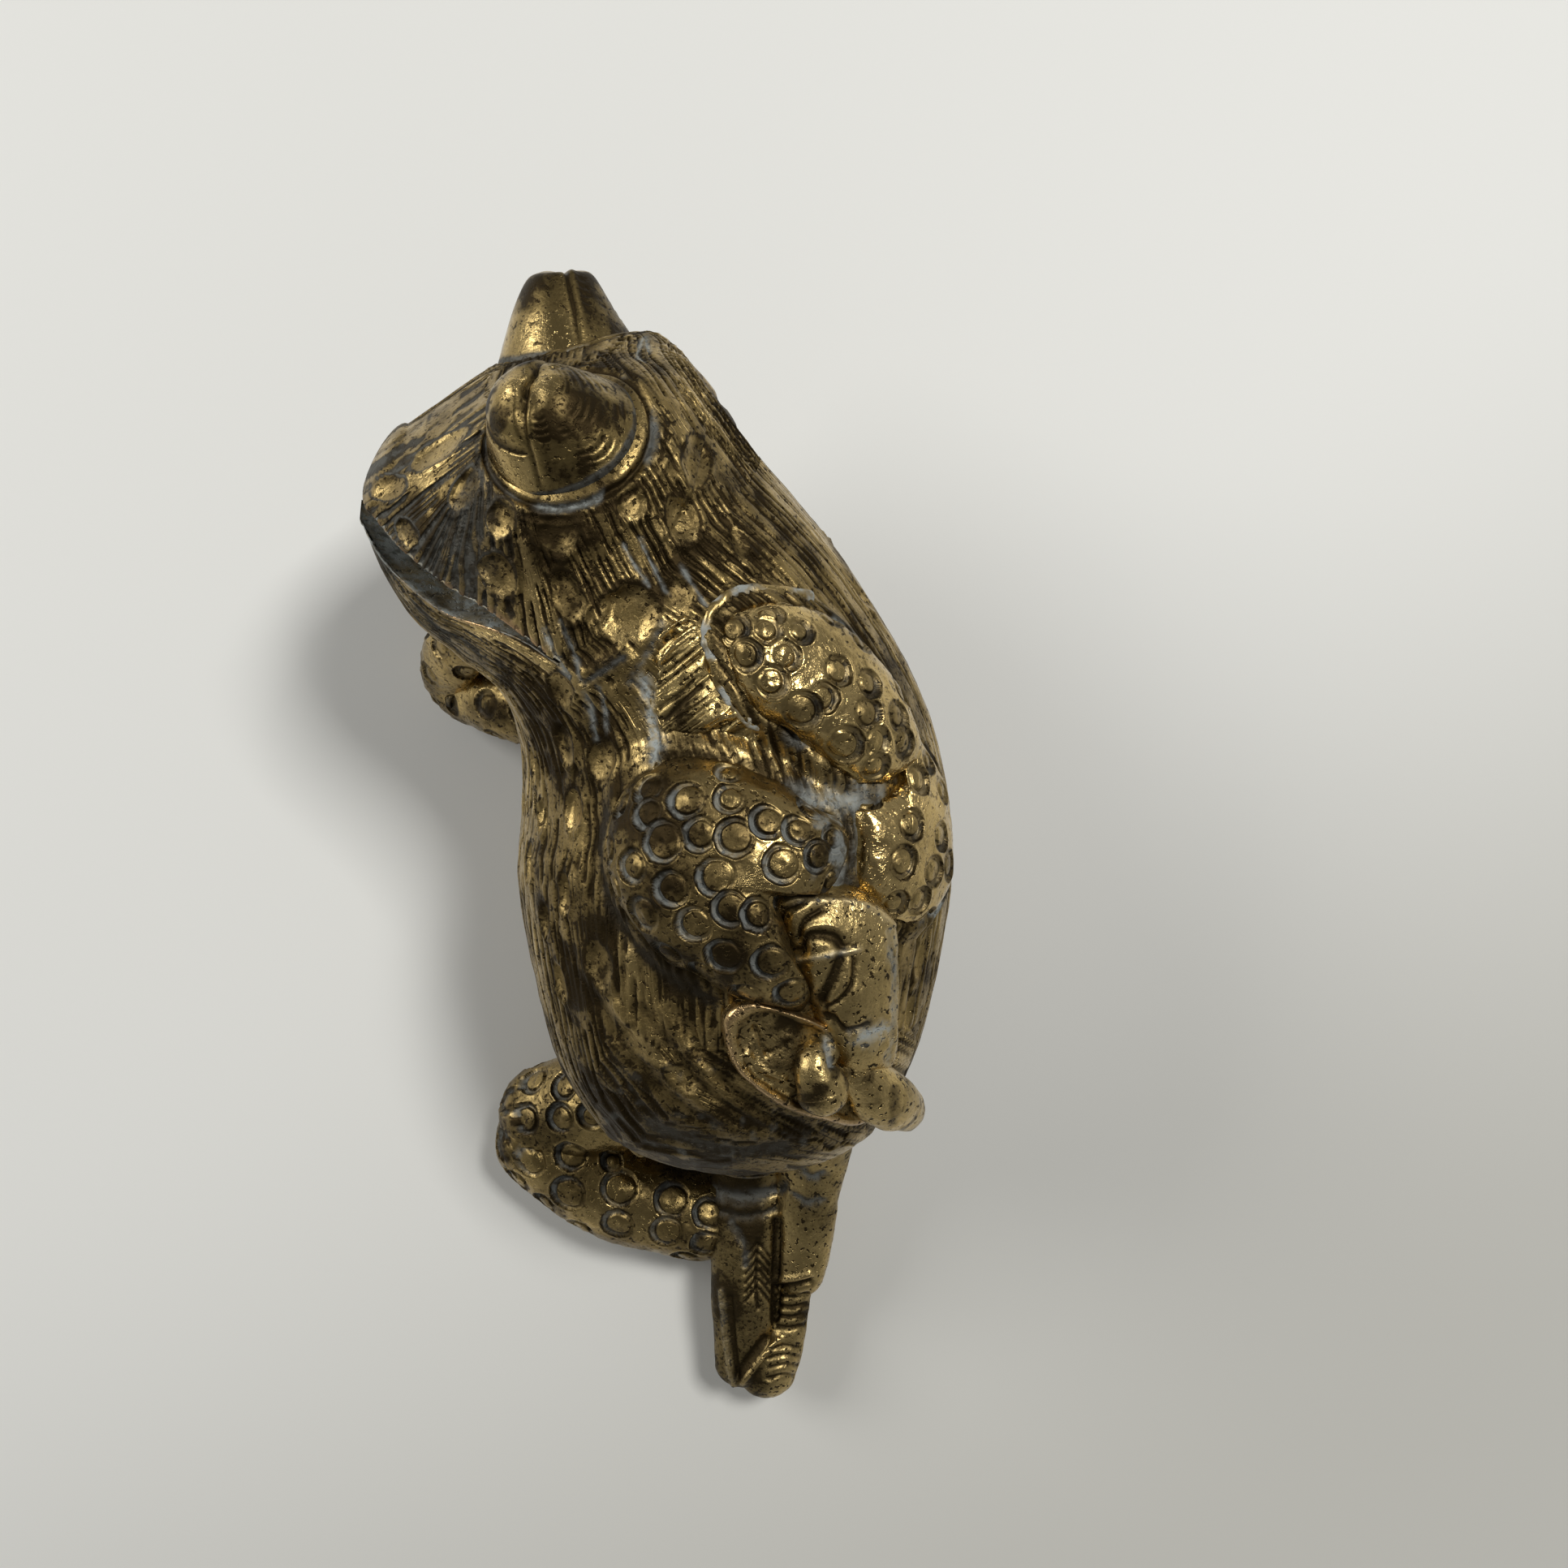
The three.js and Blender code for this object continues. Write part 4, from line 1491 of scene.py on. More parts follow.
@dataclass(frozen=True)
class Pad:
    """Lobe on the body's skin inside an outline that is placed in the picture."""

    outline: tuple[tuple[float, float], ...]
    middle: tuple[float, float]
    profile: tuple[tuple[float, float], ...]
    lift: float = 2.0

    def sheet(self, rows: int, columns: int) -> Sheet:
        """Lobe from its edge to its middle.

        Place = middle + share * (outline - middle) on the skin, in stations and turns, and
        its lift over the skin follows the profile from edge to middle.

        Args:
            rows: Rows from edge to middle.
            columns: Points round the outline.

        Returns:
            A closed grid.
        """
        loop = TOAD.seen_at(self.outline, self.lift)
        middle = TOAD.seen_at([self.middle], self.lift)[0]
        edge = smooth_run(loop, np.linspace(0, len(loop), columns, endpoint=False), loop=True)
        share, lift = smooth_run(np.array(self.profile), np.linspace(0, len(self.profile) - 1, rows)).T
        share = np.maximum(share, 0.002)[:, None, None]
        place = middle + share * (edge - middle)
        points = TOAD.point(place[..., 0], place[..., 1], np.broadcast_to(lift[:, None], place.shape[:2]))
        if np.cross(edge[1] - edge[0], middle - edge[0]) > 0:
            points = points[:, ::-1]
        return Sheet(points)


# Height of a section as a share of its width
HAND_FLAT = 0.34
LIMB_FLAT = 0.94

UPPER_ARM = Pad(
    (
        (900, 752), (940, 738), (990, 742), (1040, 768), (1080, 808), (1108, 850), (1128, 895),
        (1135, 935), (1115, 962), (1080, 972), (1045, 958), (1005, 932), (965, 905), (930, 880),
        (905, 845), (892, 805), (890, 775),
    ),
    (1015, 855),
    ((1.0, -1.0), (0.985, 0.5), (0.94, 1.8), (0.85, 3.2), (0.7, 4.3), (0.45, 5.1), (0.2, 5.4), (0.0, 5.5)),
)
FOREARM = Pad(
    (
        (1060, 992), (1084, 982), (1108, 956), (1108, 916), (1124, 884), (1148, 916), (1166, 952),
        (1175, 995), (1178, 1040), (1174, 1090), (1158, 1130), (1130, 1142), (1100, 1135), (1072, 1112),
        (1060, 1088), (1058, 1040),
    ),
    (1112, 1050),
    ((1.0, -1.5), (0.98, 0.2), (0.92, 1.4), (0.8, 2.4), (0.55, 3.2), (0.3, 3.5), (0.0, 3.6)),
)
LEFT_LEG = Pad(
    (
        (765, 965), (800, 940), (850, 930), (900, 935), (950, 955), (1000, 985), (1040, 998),
        (1055, 1028), (1047, 1068), (1025, 1098), (965, 1108), (972, 1155), (985, 1200), (1002, 1236),
        (985, 1253), (945, 1250), (900, 1232), (860, 1208), (820, 1194), (788, 1155), (757, 1100),
        (746, 1045), (752, 1000),
    ),
    (890, 1080),
    ((1.0, -1.5), (0.985, 0.6), (0.94, 2.6), (0.85, 4.6), (0.7, 6.0), (0.5, 6.9), (0.25, 7.3), (0.0, 7.4)),
)
LEFT_HAND = Pad(
    (
        (806, 786), (836, 764), (872, 766), (878, 806), (892, 846), (922, 880), (948, 905), (905, 918),
        (860, 926), (822, 936), (806, 905), (800, 865), (800, 825),
    ),
    (856, 850),
    ((1.0, -0.8), (0.97, -0.3), (0.9, 0.0), (0.75, 0.3), (0.5, 0.6), (0.25, 0.8), (0.0, 0.85)),
    0.5,
)
LEFT_HAND_LINES = (
    Groove(((802, 806), (820, 778), (846, 764)), 0.4, 0.5, 0.0, 0.0, 0.3, 0.9),
    Groove(((812, 818), (834, 790), (858, 772)), 0.35, 0.4, 0.0, 0.0, 0.3, 0.9),
    Groove(((808, 800), (828, 782), (852, 768)), 0.25, -0.4, 0.0, 0.95),
    Groove(((806, 828), (800, 850), (806, 890), (814, 930)), 0.5, -0.3, 0.9, 0.2, 0.7),
    Groove(((870, 890), (895, 880), (925, 890)), 0.6, 0.3, 0.0, 0.0, 0.4, 0.8),
    Groove(((830, 905), (870, 908), (915, 905)), 0.4, -0.3, 0.0, 0.9, 0.4),
)
LEFT_INSTEP = Pad(
    (
        (952, 1096), (1025, 1086), (1078, 1098), (1102, 1130), (1103, 1200), (1100, 1265), (1092, 1330),
        (1050, 1345), (1015, 1295), (1000, 1245), (978, 1200), (962, 1150),
    ),
    (1045, 1205),
    ((1.0, -0.8), (0.97, 1.0), (0.9, 2.5), (0.78, 3.9), (0.6, 4.8), (0.3, 5.3), (0.0, 5.4)),
)
LEFT_WEB = Pad(
    (
        (887, 1250), (889, 1282), (900, 1315), (919, 1336), (949, 1357), (985, 1373), (1018, 1385),
        (1060, 1389), (1094, 1360), (1096, 1312), (1020, 1262), (960, 1238), (915, 1230),
    ),
    (990, 1305),
    ((1.0, -1.5), (0.99, 1.4), (0.95, 2.9), (0.89, 3.4), (0.82, 3.1), (0.72, 2.5), (0.5, 2.3), (0.0, 2.6)),
    3.0,
)
LEFT_INNER_TOE = Limb(
    ((1024, 1276, 1.0, 1.8), (1004, 1308, 3.4, 2.2), (1012, 1344, 4.2, 3.0)), 0.95, Place.PICTURE
)
LEFT_OUTER_TOE = Limb(
    ((1050, 1312, 1.2, 3.0), (1086, 1350, 3.0, 3.5), (1116, 1367, 3.0, 2.6)), 0.9, Place.PICTURE
)
LEFT_FOOT = (LEFT_INSTEP, LEFT_WEB, LEFT_INNER_TOE, LEFT_OUTER_TOE)
LEFT_FOOT_LINES = (
    Groove(((961, 1138), (967, 1120), (988, 1111)), 0.3, -0.35, 0.0, 0.8),
    Groove(((982, 1159), (991, 1135), (1012, 1120)), 0.35, -0.4, 0.0, 0.8),
    Groove(((972, 1150), (979, 1128), (1000, 1114)), 0.35, 0.2, worn_and_highlit=0.6),
    Groove(((984, 1168), (993, 1156), (1012, 1152), (1030, 1156), (1040, 1166)), 0.7, -0.55, 0.0, 0.95),
    Groove(
        ((982, 1165), (991, 1147), (1012, 1140), (1032, 1144), (1044, 1160)), 0.3, 0.2, worn_and_highlit=0.8
    ),
    Groove(((970, 1184), (1012, 1179), (1060, 1170)), 0.3, 0.3, 0.4, 0.0, 0.4, 0.7),
    Groove(((1036, 1182), (1027, 1204), (1012, 1230)), 0.65, -0.55, 0.0, 0.95),
    Groove(((1054, 1183), (1051, 1210), (1036, 1231), (1018, 1241)), 0.3, -0.4, 0.0, 0.8),
    Groove(((1046, 1184), (1040, 1208), (1024, 1232)), 0.4, 0.2, worn_and_highlit=0.6),
    Groove(((1018, 1250), (1030, 1256), (1044, 1270), (1070, 1262)), 0.4, -0.45, 0.0, 0.95, 0.5),
    Groove(((1064, 1278), (1078, 1270), (1092, 1268)), 0.9, -0.2, 0.95, 0.0, 0.6),
    Groove(((1018, 1282), (1020, 1300), (1024, 1314)), 0.5, -0.4, 0.7, 0.4, 0.6),
    Groove(((1096, 1150), (1104, 1200), (1102, 1260), (1096, 1310)), 0.5, -0.2, 0.5, 0.2, 0.8),
    Groove(((931, 1268), (938, 1284), (946, 1300)), 0.3, -0.35, 0.0, 0.8),
    Groove(((946, 1300), (958, 1292), (972, 1284)), 0.3, -0.35, 0.0, 0.8),
    Groove(((922, 1300), (940, 1318), (966, 1330)), 0.5, 0.35, worn_and_highlit=0.5),
    Groove(
        ((950, 1097), (991, 1108), (1040, 1110), (1075, 1120), (1100, 1140)), 0.5, 0.3, 0.2, 0.0, 0.4, 0.7
    ),
)
RIGHT_ARM = Limb(
    ((-23, 8, 15, 6), (-36, 11, 11, 5.4), (-45.5, 14.5, 4.4, 5), (-44.5, 18.5, 13, 4.6), (-38, 21, 20, 4.2)),
    LIMB_FLAT,
    Place.TABLE,
)
RIGHT_THIGH = Limb(
    ((-12, -42, 12, 7.5), (-24, -43.5, 10.5, 7.5), (-33, -46.5, 6.8, 7.2)), LIMB_FLAT, Place.TABLE
)
RIGHT_SHIN = Limb(
    ((-33.5, -50, 6, 7.2), (-24, -56.4, 6.4, 7.4), (-12, -60.6, 5.8, 6.6)), LIMB_FLAT, Place.TABLE
)
RIGHT_TOE = Limb(
    (
        (4.6, -45, 18.5, 5.0), (4.2, -50, 14.5, 4.8), (3.3, -56.5, 11.9, 4.3), (2.9, -62.8, 10.3, 3.9),
        (2.2, -67.8, 9.3, 3.5), (1.5, -70.2, 8.0, 2.7), (1.0, -73.7, 7.4, 2.6), (0.2, -76.6, 6.9, 3.0),
        (-1.2, -79.6, 6.5, 3.8), (-2.5, -82.4, 5.9, 4.3),
    ),
    0.8,
    Place.TABLE,
)
RIGHT_LEAF = Limb(
    ((-4.8, -56.4, 11.1, 2.0), (-4.4, -61.8, 10.5, 2.6), (-4, -67.2, 9.7, 2.3), (-3.2, -71.8, 8.7, 1.5)),
    0.6,
    Place.TABLE,
)
RIGHT_WEB = Limb(
    ((-4, -52, 9.5, 6), (-4.6, -60.5, 8.9, 5.6), (-5.2, -69.5, 8.2, 5.0), (-5.8, -81.4, 6.9, 3.9)),
    0.7,
    Place.TABLE,
)

# Rows of the picture where short cuts start: on the right toe's knuckle, on its tip and on the leaf
KNUCKLE_ROWS = (1597, 1609, 1621, 1634)
TIP_ROWS = (1660, 1671, 1683, 1696)
LEAF_ROWS = range(1534, 1600, 11)

RIGHT_FOOT_LINES = (
    Groove(((961, 1578), (980, 1575), (997, 1570)), 0.5, 0.4, worn_and_highlit=1.0),
    Groove(((960, 1586), (978, 1584), (998, 1579)), 0.5, -0.6, 0.0, 0.95),
    *(Groove(((957, y), (976, y + 2), (995, y - 2)), 0.35, -0.35, 0.0, 0.75) for y in KNUCKLE_ROWS),
    Groove(((960, 1650), (942, 1668), (914, 1702)), 0.5, 0.6, worn_and_highlit=1.0),
    Groove(((944, 1650), (926, 1672), (908, 1698)), 0.8, -0.6, 0.0, 0.95),
    *(Groove(((948, y + 2), (966, y - 2), (984, y)), 0.35, -0.3, 0.0, 0.7) for y in TIP_ROWS),
    Groove(((934, 1528), (931, 1572), (934, 1612)), 0.3, -0.4, 0.0, 0.9),
    *(Groove(((932, y), (925, y + 7), (918, y + 15)), 0.25, -0.3, 0.0, 0.8) for y in LEAF_ROWS),
    *(Groove(((936, y), (943, y + 7), (950, y + 15)), 0.25, -0.3, 0.0, 0.8) for y in LEAF_ROWS),
    Groove(((957, 1505), (956, 1560), (955, 1625)), 0.6, -0.5, 0.0, 1.0),
    Groove(((889, 1590), (893, 1640), (899, 1690), (906, 1714)), 0.35, 0.4, 0.2, 0.0, 0.3, 0.4),
    Groove(((899, 1600), (903, 1650), (909, 1700)), 0.5, -0.6, 0.0, 1.0),
    Groove(((985, 1440), (1000, 1452), (1015, 1446)), 0.5, -0.35, 0.5, 0.6, 0.6),
    Groove(((872, 1466), (915, 1476), (962, 1464)), 0.9, -0.6, 0.3, 0.95, 0.4),
    Groove(((880, 1492), (918, 1500), (955, 1490)), 0.6, -0.4, 0.1, 0.9, 0.4),
    Groove(((900, 1506), (916, 1530), (918, 1560)), 0.5, -0.4, 0.2, 0.8, 0.5),
    Groove(((975, 1470), (995, 1482), (1016, 1478)), 0.5, -0.3, 0.3, 0.6, 0.6),
)
RIGHT_HAND = Limb(((6.5, 174, -0.6, 5), (6.3, 185, -0.2, 6.8), (6, 197, -0.6, 5.4)), HAND_FLAT)
SHOULDER_BEAD_PIXELS = (
    (996, 736), (944, 728), (908, 733), (882, 750), (873, 776), (877, 808), (892, 846), (920, 880),
    (952, 902), (982, 920), (1014, 942), (1050, 966),
)
SHOULDER_BEAD = Limb(tuple((c, r, 0.5, 0.8) for c, r in SHOULDER_BEAD_PIXELS), 0.6, Place.PICTURE)
HIP_BEAD_PLACES = ((2.25, -108), (1.9, -104), (1.4, -104), (1, -108))
HIP_BEAD = Limb(tuple((s, t, 0.6, 1.0) for s, t in HIP_BEAD_PLACES), 1.0)


@dataclass
class Piece:
    """One casting, built from grids of points and dressed with a finish."""

    node: str
    slot: str

    def sheets(self) -> list[Sheet]:
        """Grids that make up the casting."""
        raise NotImplementedError

    def build(self, shift: Array) -> bpy.types.Object:
        """Makes the mesh object from the grids, trimmed where they would sink into the table.

        Args:
            shift: Offset from the figure's frame to the part's frame, in millimetres.

        Returns:
            The object.
        """
        grids = self.sheets()
        faces, start = [], 0
        for grid in grids:
            rows, columns = grid.points.shape[:2]
            steps = columns if grid.closed else columns - 1
            r, c = np.meshgrid(np.arange(rows - 1), np.arange(steps), indexing="ij")
            low, high = r * columns, (r + 1) * columns
            after = (c + 1) % columns
            quad = np.stack([low + c, low + after, high + after, high + c], -1)
            faces.append(quad.reshape(-1, 4) + start)
            start += rows * columns
        points = (np.concatenate([g.points.reshape(-1, 3) for g in grids]) + shift) * MM
        points[:, 2] = np.maximum(points[:, 2], 0.0)
        quads = np.concatenate(faces).astype(np.int32)
        mesh = bpy.data.meshes.new(self.node)
        mesh.vertices.add(len(points))
        mesh.vertices.foreach_set("co", points.astype(np.float32).ravel())
        mesh.loops.add(quads.size)
        mesh.loops.foreach_set("vertex_index", quads.ravel())
        mesh.polygons.add(len(quads))
        mesh.polygons.foreach_set("loop_start", np.arange(0, quads.size, 4, dtype=np.int32))
        mesh.polygons.foreach_set("use_smooth", np.ones(len(quads), bool))
        for mark in Mark:
            layer = mesh.attributes.new(mark.value, "FLOAT", "POINT")
            values = np.concatenate([g.marks[mark].ravel() for g in grids])
            layer.data.foreach_set("value", values.astype(np.float32))
        layer = mesh.attributes.new("flow", "FLOAT_VECTOR", "POINT")
        flow = np.concatenate([g.flow.reshape(-1, 2) for g in grids])
        layer.data.foreach_set("vector", np.pad(flow, ((0, 0), (0, 1))).astype(np.float32).ravel())
        mesh.update()
        mesh.validate()
        obj = bpy.data.objects.new(self.node, mesh)
        bpy.context.scene.collection.objects.link(obj)
        return obj

    def dress(self, obj: bpy.types.Object) -> None:
        """Gives the object its finish and ties it to the part.

        Args:
            obj: Object to dress.
        """
        obj.data.materials.append(FINISHES[self.slot].build())
        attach(obj, "root")
        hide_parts(self.node)


class Patch(NamedTuple):
    """Corner of the rump, right of a column and under a row, where the lines have one lean."""

    column: float
    row: float
    lean: float
    slant: int = 1


# Patches of the rump, how far their edges stray in pixels, and millimetres per pixel there
RUMP_PATCHES = (Patch(740, 1260, 50.0), Patch(835, 1275, 27.0, -1), Patch(0, 1398, 6.0))
PATCH_BLUR = 22
PATCH_PIXEL = 0.1


class Weld(NamedTuple):
    """Corner between the torso and a lobe: how far it is filled and how high, in millimetres."""

    pad: Pad
    reach: float
    fill: float


# Corners that are filled, and the coarse grid whose second row is a lobe's edge
WELDS = (
    Weld(UPPER_ARM, 3.0, 1.6),
    Weld(FOREARM, 2.4, 1.4),
    Weld(LEFT_LEG, 3.2, 1.8),
    Weld(LEFT_WEB, 2.5, 0.8),
    Weld(LEFT_INSTEP, 2.6, 1.8),
)
EDGE_GRID = (8, 120)


@dataclass
class Torso(Piece):
    """Body from the rump to the neck."""

    node: str = "torso"
    slot: str = "brass_body"
    rows: tuple[int, int] = (92, 84)
    columns: tuple[int, int, int] = (29, 367, 131)

    def sheets(self) -> list[Sheet]:
        """Loft of the body's ovals, with a rounded rump.

        Point = section centre + back * depth * sin(turn) + side * width * cos(turn), and at
        the rump the ovals shrink as a cosine while they move back as a sine.

        Returns:
            One closed grid.
        """
        cap = quarter(CAP_ROWS)
        run = stretches((0, RUMP_STATION, NECK_STATION), self.rows)
        station = np.concatenate([np.zeros(len(cap)), run])
        shrink = np.concatenate([np.cos(cap), np.ones(len(run))])
        behind = np.concatenate([np.sin(cap), np.zeros(len(run))]) * RUMP_CAP
        turn = stretches((FIRST_TURN, -SEEN_TURN, SEEN_TURN, LAST_TURN), self.columns)[:-1]
        f = TOAD.sections(station)
        angle = np.radians(turn)[None, :, None]
        centre = f.centre - f.ahead * behind[:, None]
        back = (f.back * (f.depth * shrink)[:, None])[:, None]
        side = (f.side * (f.width * shrink)[:, None])[:, None]
        points = centre[:, None] + back * np.sin(angle) + side * np.cos(angle)
        past = np.minimum(points[..., 1] - RUMP_TUCK_FROM, 0)
        points[..., 1] -= (1 - RUMP_TUCK) * past
        sheet = Sheet(points)
        station, turn = np.meshgrid(station, turn, indexing="ij")
        sheet.flow = self.hatch(sheet, station, turn)
        over_back = 0.45 * ease(turn, *BACK_TURNS)
        over_belly = 0.35 * ease(turn, *BELLY_TURNS) * ease(station, *BELLY_STATIONS)
        sheet.marks[Mark.LINES] = 1 - over_back - over_belly
        height = SKIN_MARKS.apply(sheet)
        height += engrave(sheet, 0.85 * ease(station, *CALM_STATIONS) * ease(turn, *RUMP_TURNS))
        height += self.weld(sheet, station, turn)
        height *= ease(sheet.points[..., 2], 0.5, 4.0)
        sheet.lift(height, TOAD.outward(station, turn))
        return [sheet]

    def hatch(self, sheet: Sheet, station: Array, turn: Array) -> Array:
        """Flow of the lines, which on the rump changes from patch to patch.

        Args:
            sheet: Grid of the torso.
            station: Station of each point.
            turn: Turn of each point.

        Returns:
            Millimetres along and across the lines, for each point.
        """
        flow = skin_flow(sheet.points, station, turn, False)
        column, row = sheet.picture()
        blur = PATCH_BLUR * sheet.noise(5.0, Seed.PATCH_EDGES)
        low, high = PATCH_TURNS
        seen = (station < RUMP_STATION) & (turn < high) & (turn > low)
        for patch in RUMP_PATCHES:
            inside = (column > patch.column + blur) & (row > patch.row + patch.slant * blur)
            lines = picture_flow(column, row, patch.lean, PATCH_PIXEL)
            flow = np.where((seen & inside)[..., None], lines, flow)
        return flow

    def weld(self, sheet: Sheet, station: Array, turn: Array) -> Array:
        """Fills the corner beside each limb and paints shade into it, and paints shade on the rump.

        Args:
            sheet: Grid of the torso.
            station: Station of each point.
            turn: Turn of each point.

        Returns:
            Height for each point.
        """
        height = np.zeros(station.shape)
        mottle = sheet.noise(2.5, Seed.WELD_MOTTLE)
        upper = ease(sheet.picture()[0], *WELD_COLUMNS)
        for pad, reach, fill in WELDS:
            gap = nearest(sheet.points, pad.sheet(*EDGE_GRID).points[1])
            height = np.maximum(height, fill * ease(gap, reach, 0.2))
            # Painted shade in the corner beside the limb
            sheet.stain(Mark.PATINA_AND_SHADE, (0.6 + 0.4 * mottle) * ease(gap, reach, 0.3))
            crust = ease(mottle, 0.15, 0.6) * ease(gap, 1.6, 0.4)
            sheet.stain(Mark.VERDIGRIS, 0.8 * crust * upper)
            sheet.wipe(Mark.LINES, ease(gap, reach, 0.5))
        # Painted shade over the rump
        rump = ease(station, *DARK_STATIONS) * ease(turn, *RUMP_TURNS)
        sheet.stain(Mark.PATINA_AND_SHADE, 0.45 * rump * (0.8 + 0.2 * sheet.noise(3, Seed.RUMP_SHADE)))
        sheet.stain(Mark.VERDIGRIS, 0.2 * rump * ease(sheet.noise(1.2, Seed.RUMP_CRUST), 0.3, 0.7))
        return height


# Uneven surface of a casting: size and rise of its waves in millimetres, and their fields
CAST_WAVES = ((4.0, 0.15, Seed.CAST_BROAD), (1.5, 0.07, Seed.CAST_MIDDLE), (0.7, 0.04, Seed.CAST_FINE))


@dataclass
class Cast(Piece):
    """Limb casting made of one or more runs and lobes."""

    forms: tuple[Limb | Pad, ...] = ()
    punch: Punch | None = None
    rows: int = 120
    columns: int = 110
    wear_and_sheen: float = 0.35

    def sheets(self) -> list[Sheet]:
        """Forms of the limb, punched, with rubbed brightness that is partly a painted sheen.

        Returns:
            Closed grids.
        """
        grids = []
        for form in self.forms:
            sheet = form.sheet(self.rows, self.columns)
            height = sum(rise * sheet.noise(size, seed) for size, rise, seed in CAST_WAVES)
            # Base brightness of each casting: rubbing, and on the arm and the left foot also a painted sheen
            # of their lit sides
            sheet.stain(Mark.WORN_AND_HIGHLIT, self.wear_and_sheen + 0.5 * sheet.noise(5.0, Seed.WEAR_AND_SHEEN))
            if self.punch is not None:
                height += self.punch.apply(sheet)
            height += self.detail(sheet, form)
            sheet.lift(height)
            grids.append(sheet)
        return grids

    def detail(self, sheet: Sheet, form: Limb | Pad) -> Array:
        """Height of what only some castings have, nothing here."""
        return np.zeros(sheet.points.shape[:2])


@dataclass
class LeftLeg(Cast):
    """Folded leg, with painted shade towards the belly."""

    def detail(self, sheet: Sheet, form: Limb | Pad) -> Array:
        """Paints shade on the belly side and crusts the trough by the knee.

        Args:
            sheet: Grid of the leg.
            form: Its lobe; not used.

        Returns:
            Height for each point.
        """
        column, row = sheet.picture()
        mottle = sheet.noise(2.0, Seed.LEG_MOTTLE)
        # Painted shade on the belly side, away from the light
        dark = ease(column - 0.25 * (row - LEG_MIDDLE_ROW), *LEG_DARK_COLUMNS)
        sheet.stain(Mark.PATINA_AND_SHADE, 0.75 * dark * (0.7 + 0.5 * mottle))
        sheet.wipe(Mark.WORN_AND_HIGHLIT, 0.8 * dark)
        trough = ease(column, *TROUGH_COLUMNS) * ease(row, *TROUGH_ROWS)
        sheet.stain(Mark.VERDIGRIS, 0.6 * trough * ease(mottle, 0.0, 0.4))
        sheet.stain(Mark.PATINA_AND_SHADE, 0.4 * trough)
        return -0.5 * trough


@dataclass
class LeftFoot(Cast):
    """Webbed foot with a coppery rim and an engraved instep."""

    def detail(self, sheet: Sheet, form: Limb | Pad) -> Array:
        """Colours the web's rim and carves the lines.

        Args:
            sheet: Grid of one form.
            form: The form.

        Returns:
            Height for each point.
        """
        if form is LEFT_WEB:
            row = np.linspace(0, len(form.profile) - 1, sheet.points.shape[0])[:, None]
            rim = hump(row, 2.6, 1.1) * np.ones(sheet.points.shape[:2])
            sheet.wipe(Mark.PATINA_AND_SHADE, rim)
            sheet.stain(Mark.COPPER, 0.7 * rim)
            folds = sheet.noise(1.5, Seed.WEB_FOLDS)
            sheet.stain(Mark.PATINA_AND_SHADE, 0.55 * ease(row, 3.8, 4.8) * (1 + 0.8 * folds))
            return carve(sheet, LEFT_FOOT_LINES) + 0.25 * folds * ease(row, 3.8, 4.8)
        if isinstance(form, Limb):
            sheet.stain(Mark.PATINA_AND_SHADE, 0.7 * ease(sheet.noise(1.4, Seed.TOE_GRIME), -0.1, 0.6))
        return carve(sheet, LEFT_FOOT_LINES)


@dataclass
class RightFoot(Cast):
    """Long foot with a knuckled toe and a leaf-shaped one."""

    def detail(self, sheet: Sheet, form: Limb | Pad) -> Array:
        """Paints shade beside the toe, deepest towards the ankle, and carves the knuckles and the hatched
        leaf.

        Args:
            sheet: Grid of one form.
            form: The form; not used.

        Returns:
            Height for each point.
        """
        column, row = sheet.picture()
        # Painted shade beside the toe, deepest towards the ankle
        beside = ease(column, *TOE_COLUMNS)
        sheet.wipe(Mark.WORN_AND_HIGHLIT, 0.8 * beside)
        ankle = ease(row, *ANKLE_ROWS)
        sheet.stain(Mark.PATINA_AND_SHADE, (0.35 + 0.4 * ankle) * beside)
        return carve(sheet, RIGHT_FOOT_LINES)


# Lines of the left hand: their lean in degrees, and millimetres per pixel there
HAND_LEAN = -38.0
HAND_PIXEL = 0.09


@dataclass
class LeftHand(Cast):
    """Flat hand on the chest, with lines cut across it."""

    def detail(self, sheet: Sheet, form: Limb | Pad) -> Array:
        """Lays engraved lines across the hand.

        Args:
            sheet: Grid of one form.
            form: The form; not used.

        Returns:
            Height for each point.
        """
        sheet.flow = picture_flow(*sheet.picture(), HAND_LEAN, HAND_PIXEL)
        sheet.marks[Mark.LINES] = np.full(sheet.points.shape[:2], 0.8)
        sheet.wipe(Mark.WORN_AND_HIGHLIT, 1.0)
        height = 0.8 * engrave(sheet) + 0.25 * sheet.noise(1.8, Seed.HAND_LUMPS)
        sheet.stain(Mark.PATINA_AND_SHADE, 0.7 * ease(sheet.noise(2.2, Seed.HAND_GRIME), -0.1, 0.5))
        return height + carve(sheet, LEFT_HAND_LINES)


@dataclass
class Bead(Cast):
    """Thin pale braze bead round the shoulder."""

    def detail(self, sheet: Sheet, form: Limb | Pad) -> Array:
        """Crusts the bead over most of its run.

        Args:
            sheet: Grid of the bead.
            form: Its run; not used.

        Returns:
            Height for each point.
        """
        crust = ease(sheet.noise(1.6, Seed.BEAD_CRUST), -0.2, 0.3)
        sheet.stain(Mark.VERDIGRIS, 0.9 * crust)
        sheet.wipe(Mark.WORN_AND_HIGHLIT, crust)
        return 0.15 * sheet.noise(0.8, Seed.BEAD_LUMPS)


# Round an eye, in millimetres: height over its seat that the ring reaches, rise of the mound,
# depth of the groove and rise of the folds
RING_REACH = 9
MOUND_RISE = 1.6
GROOVE_DEPTH = 0.7
FOLDS_RISE = 0.2


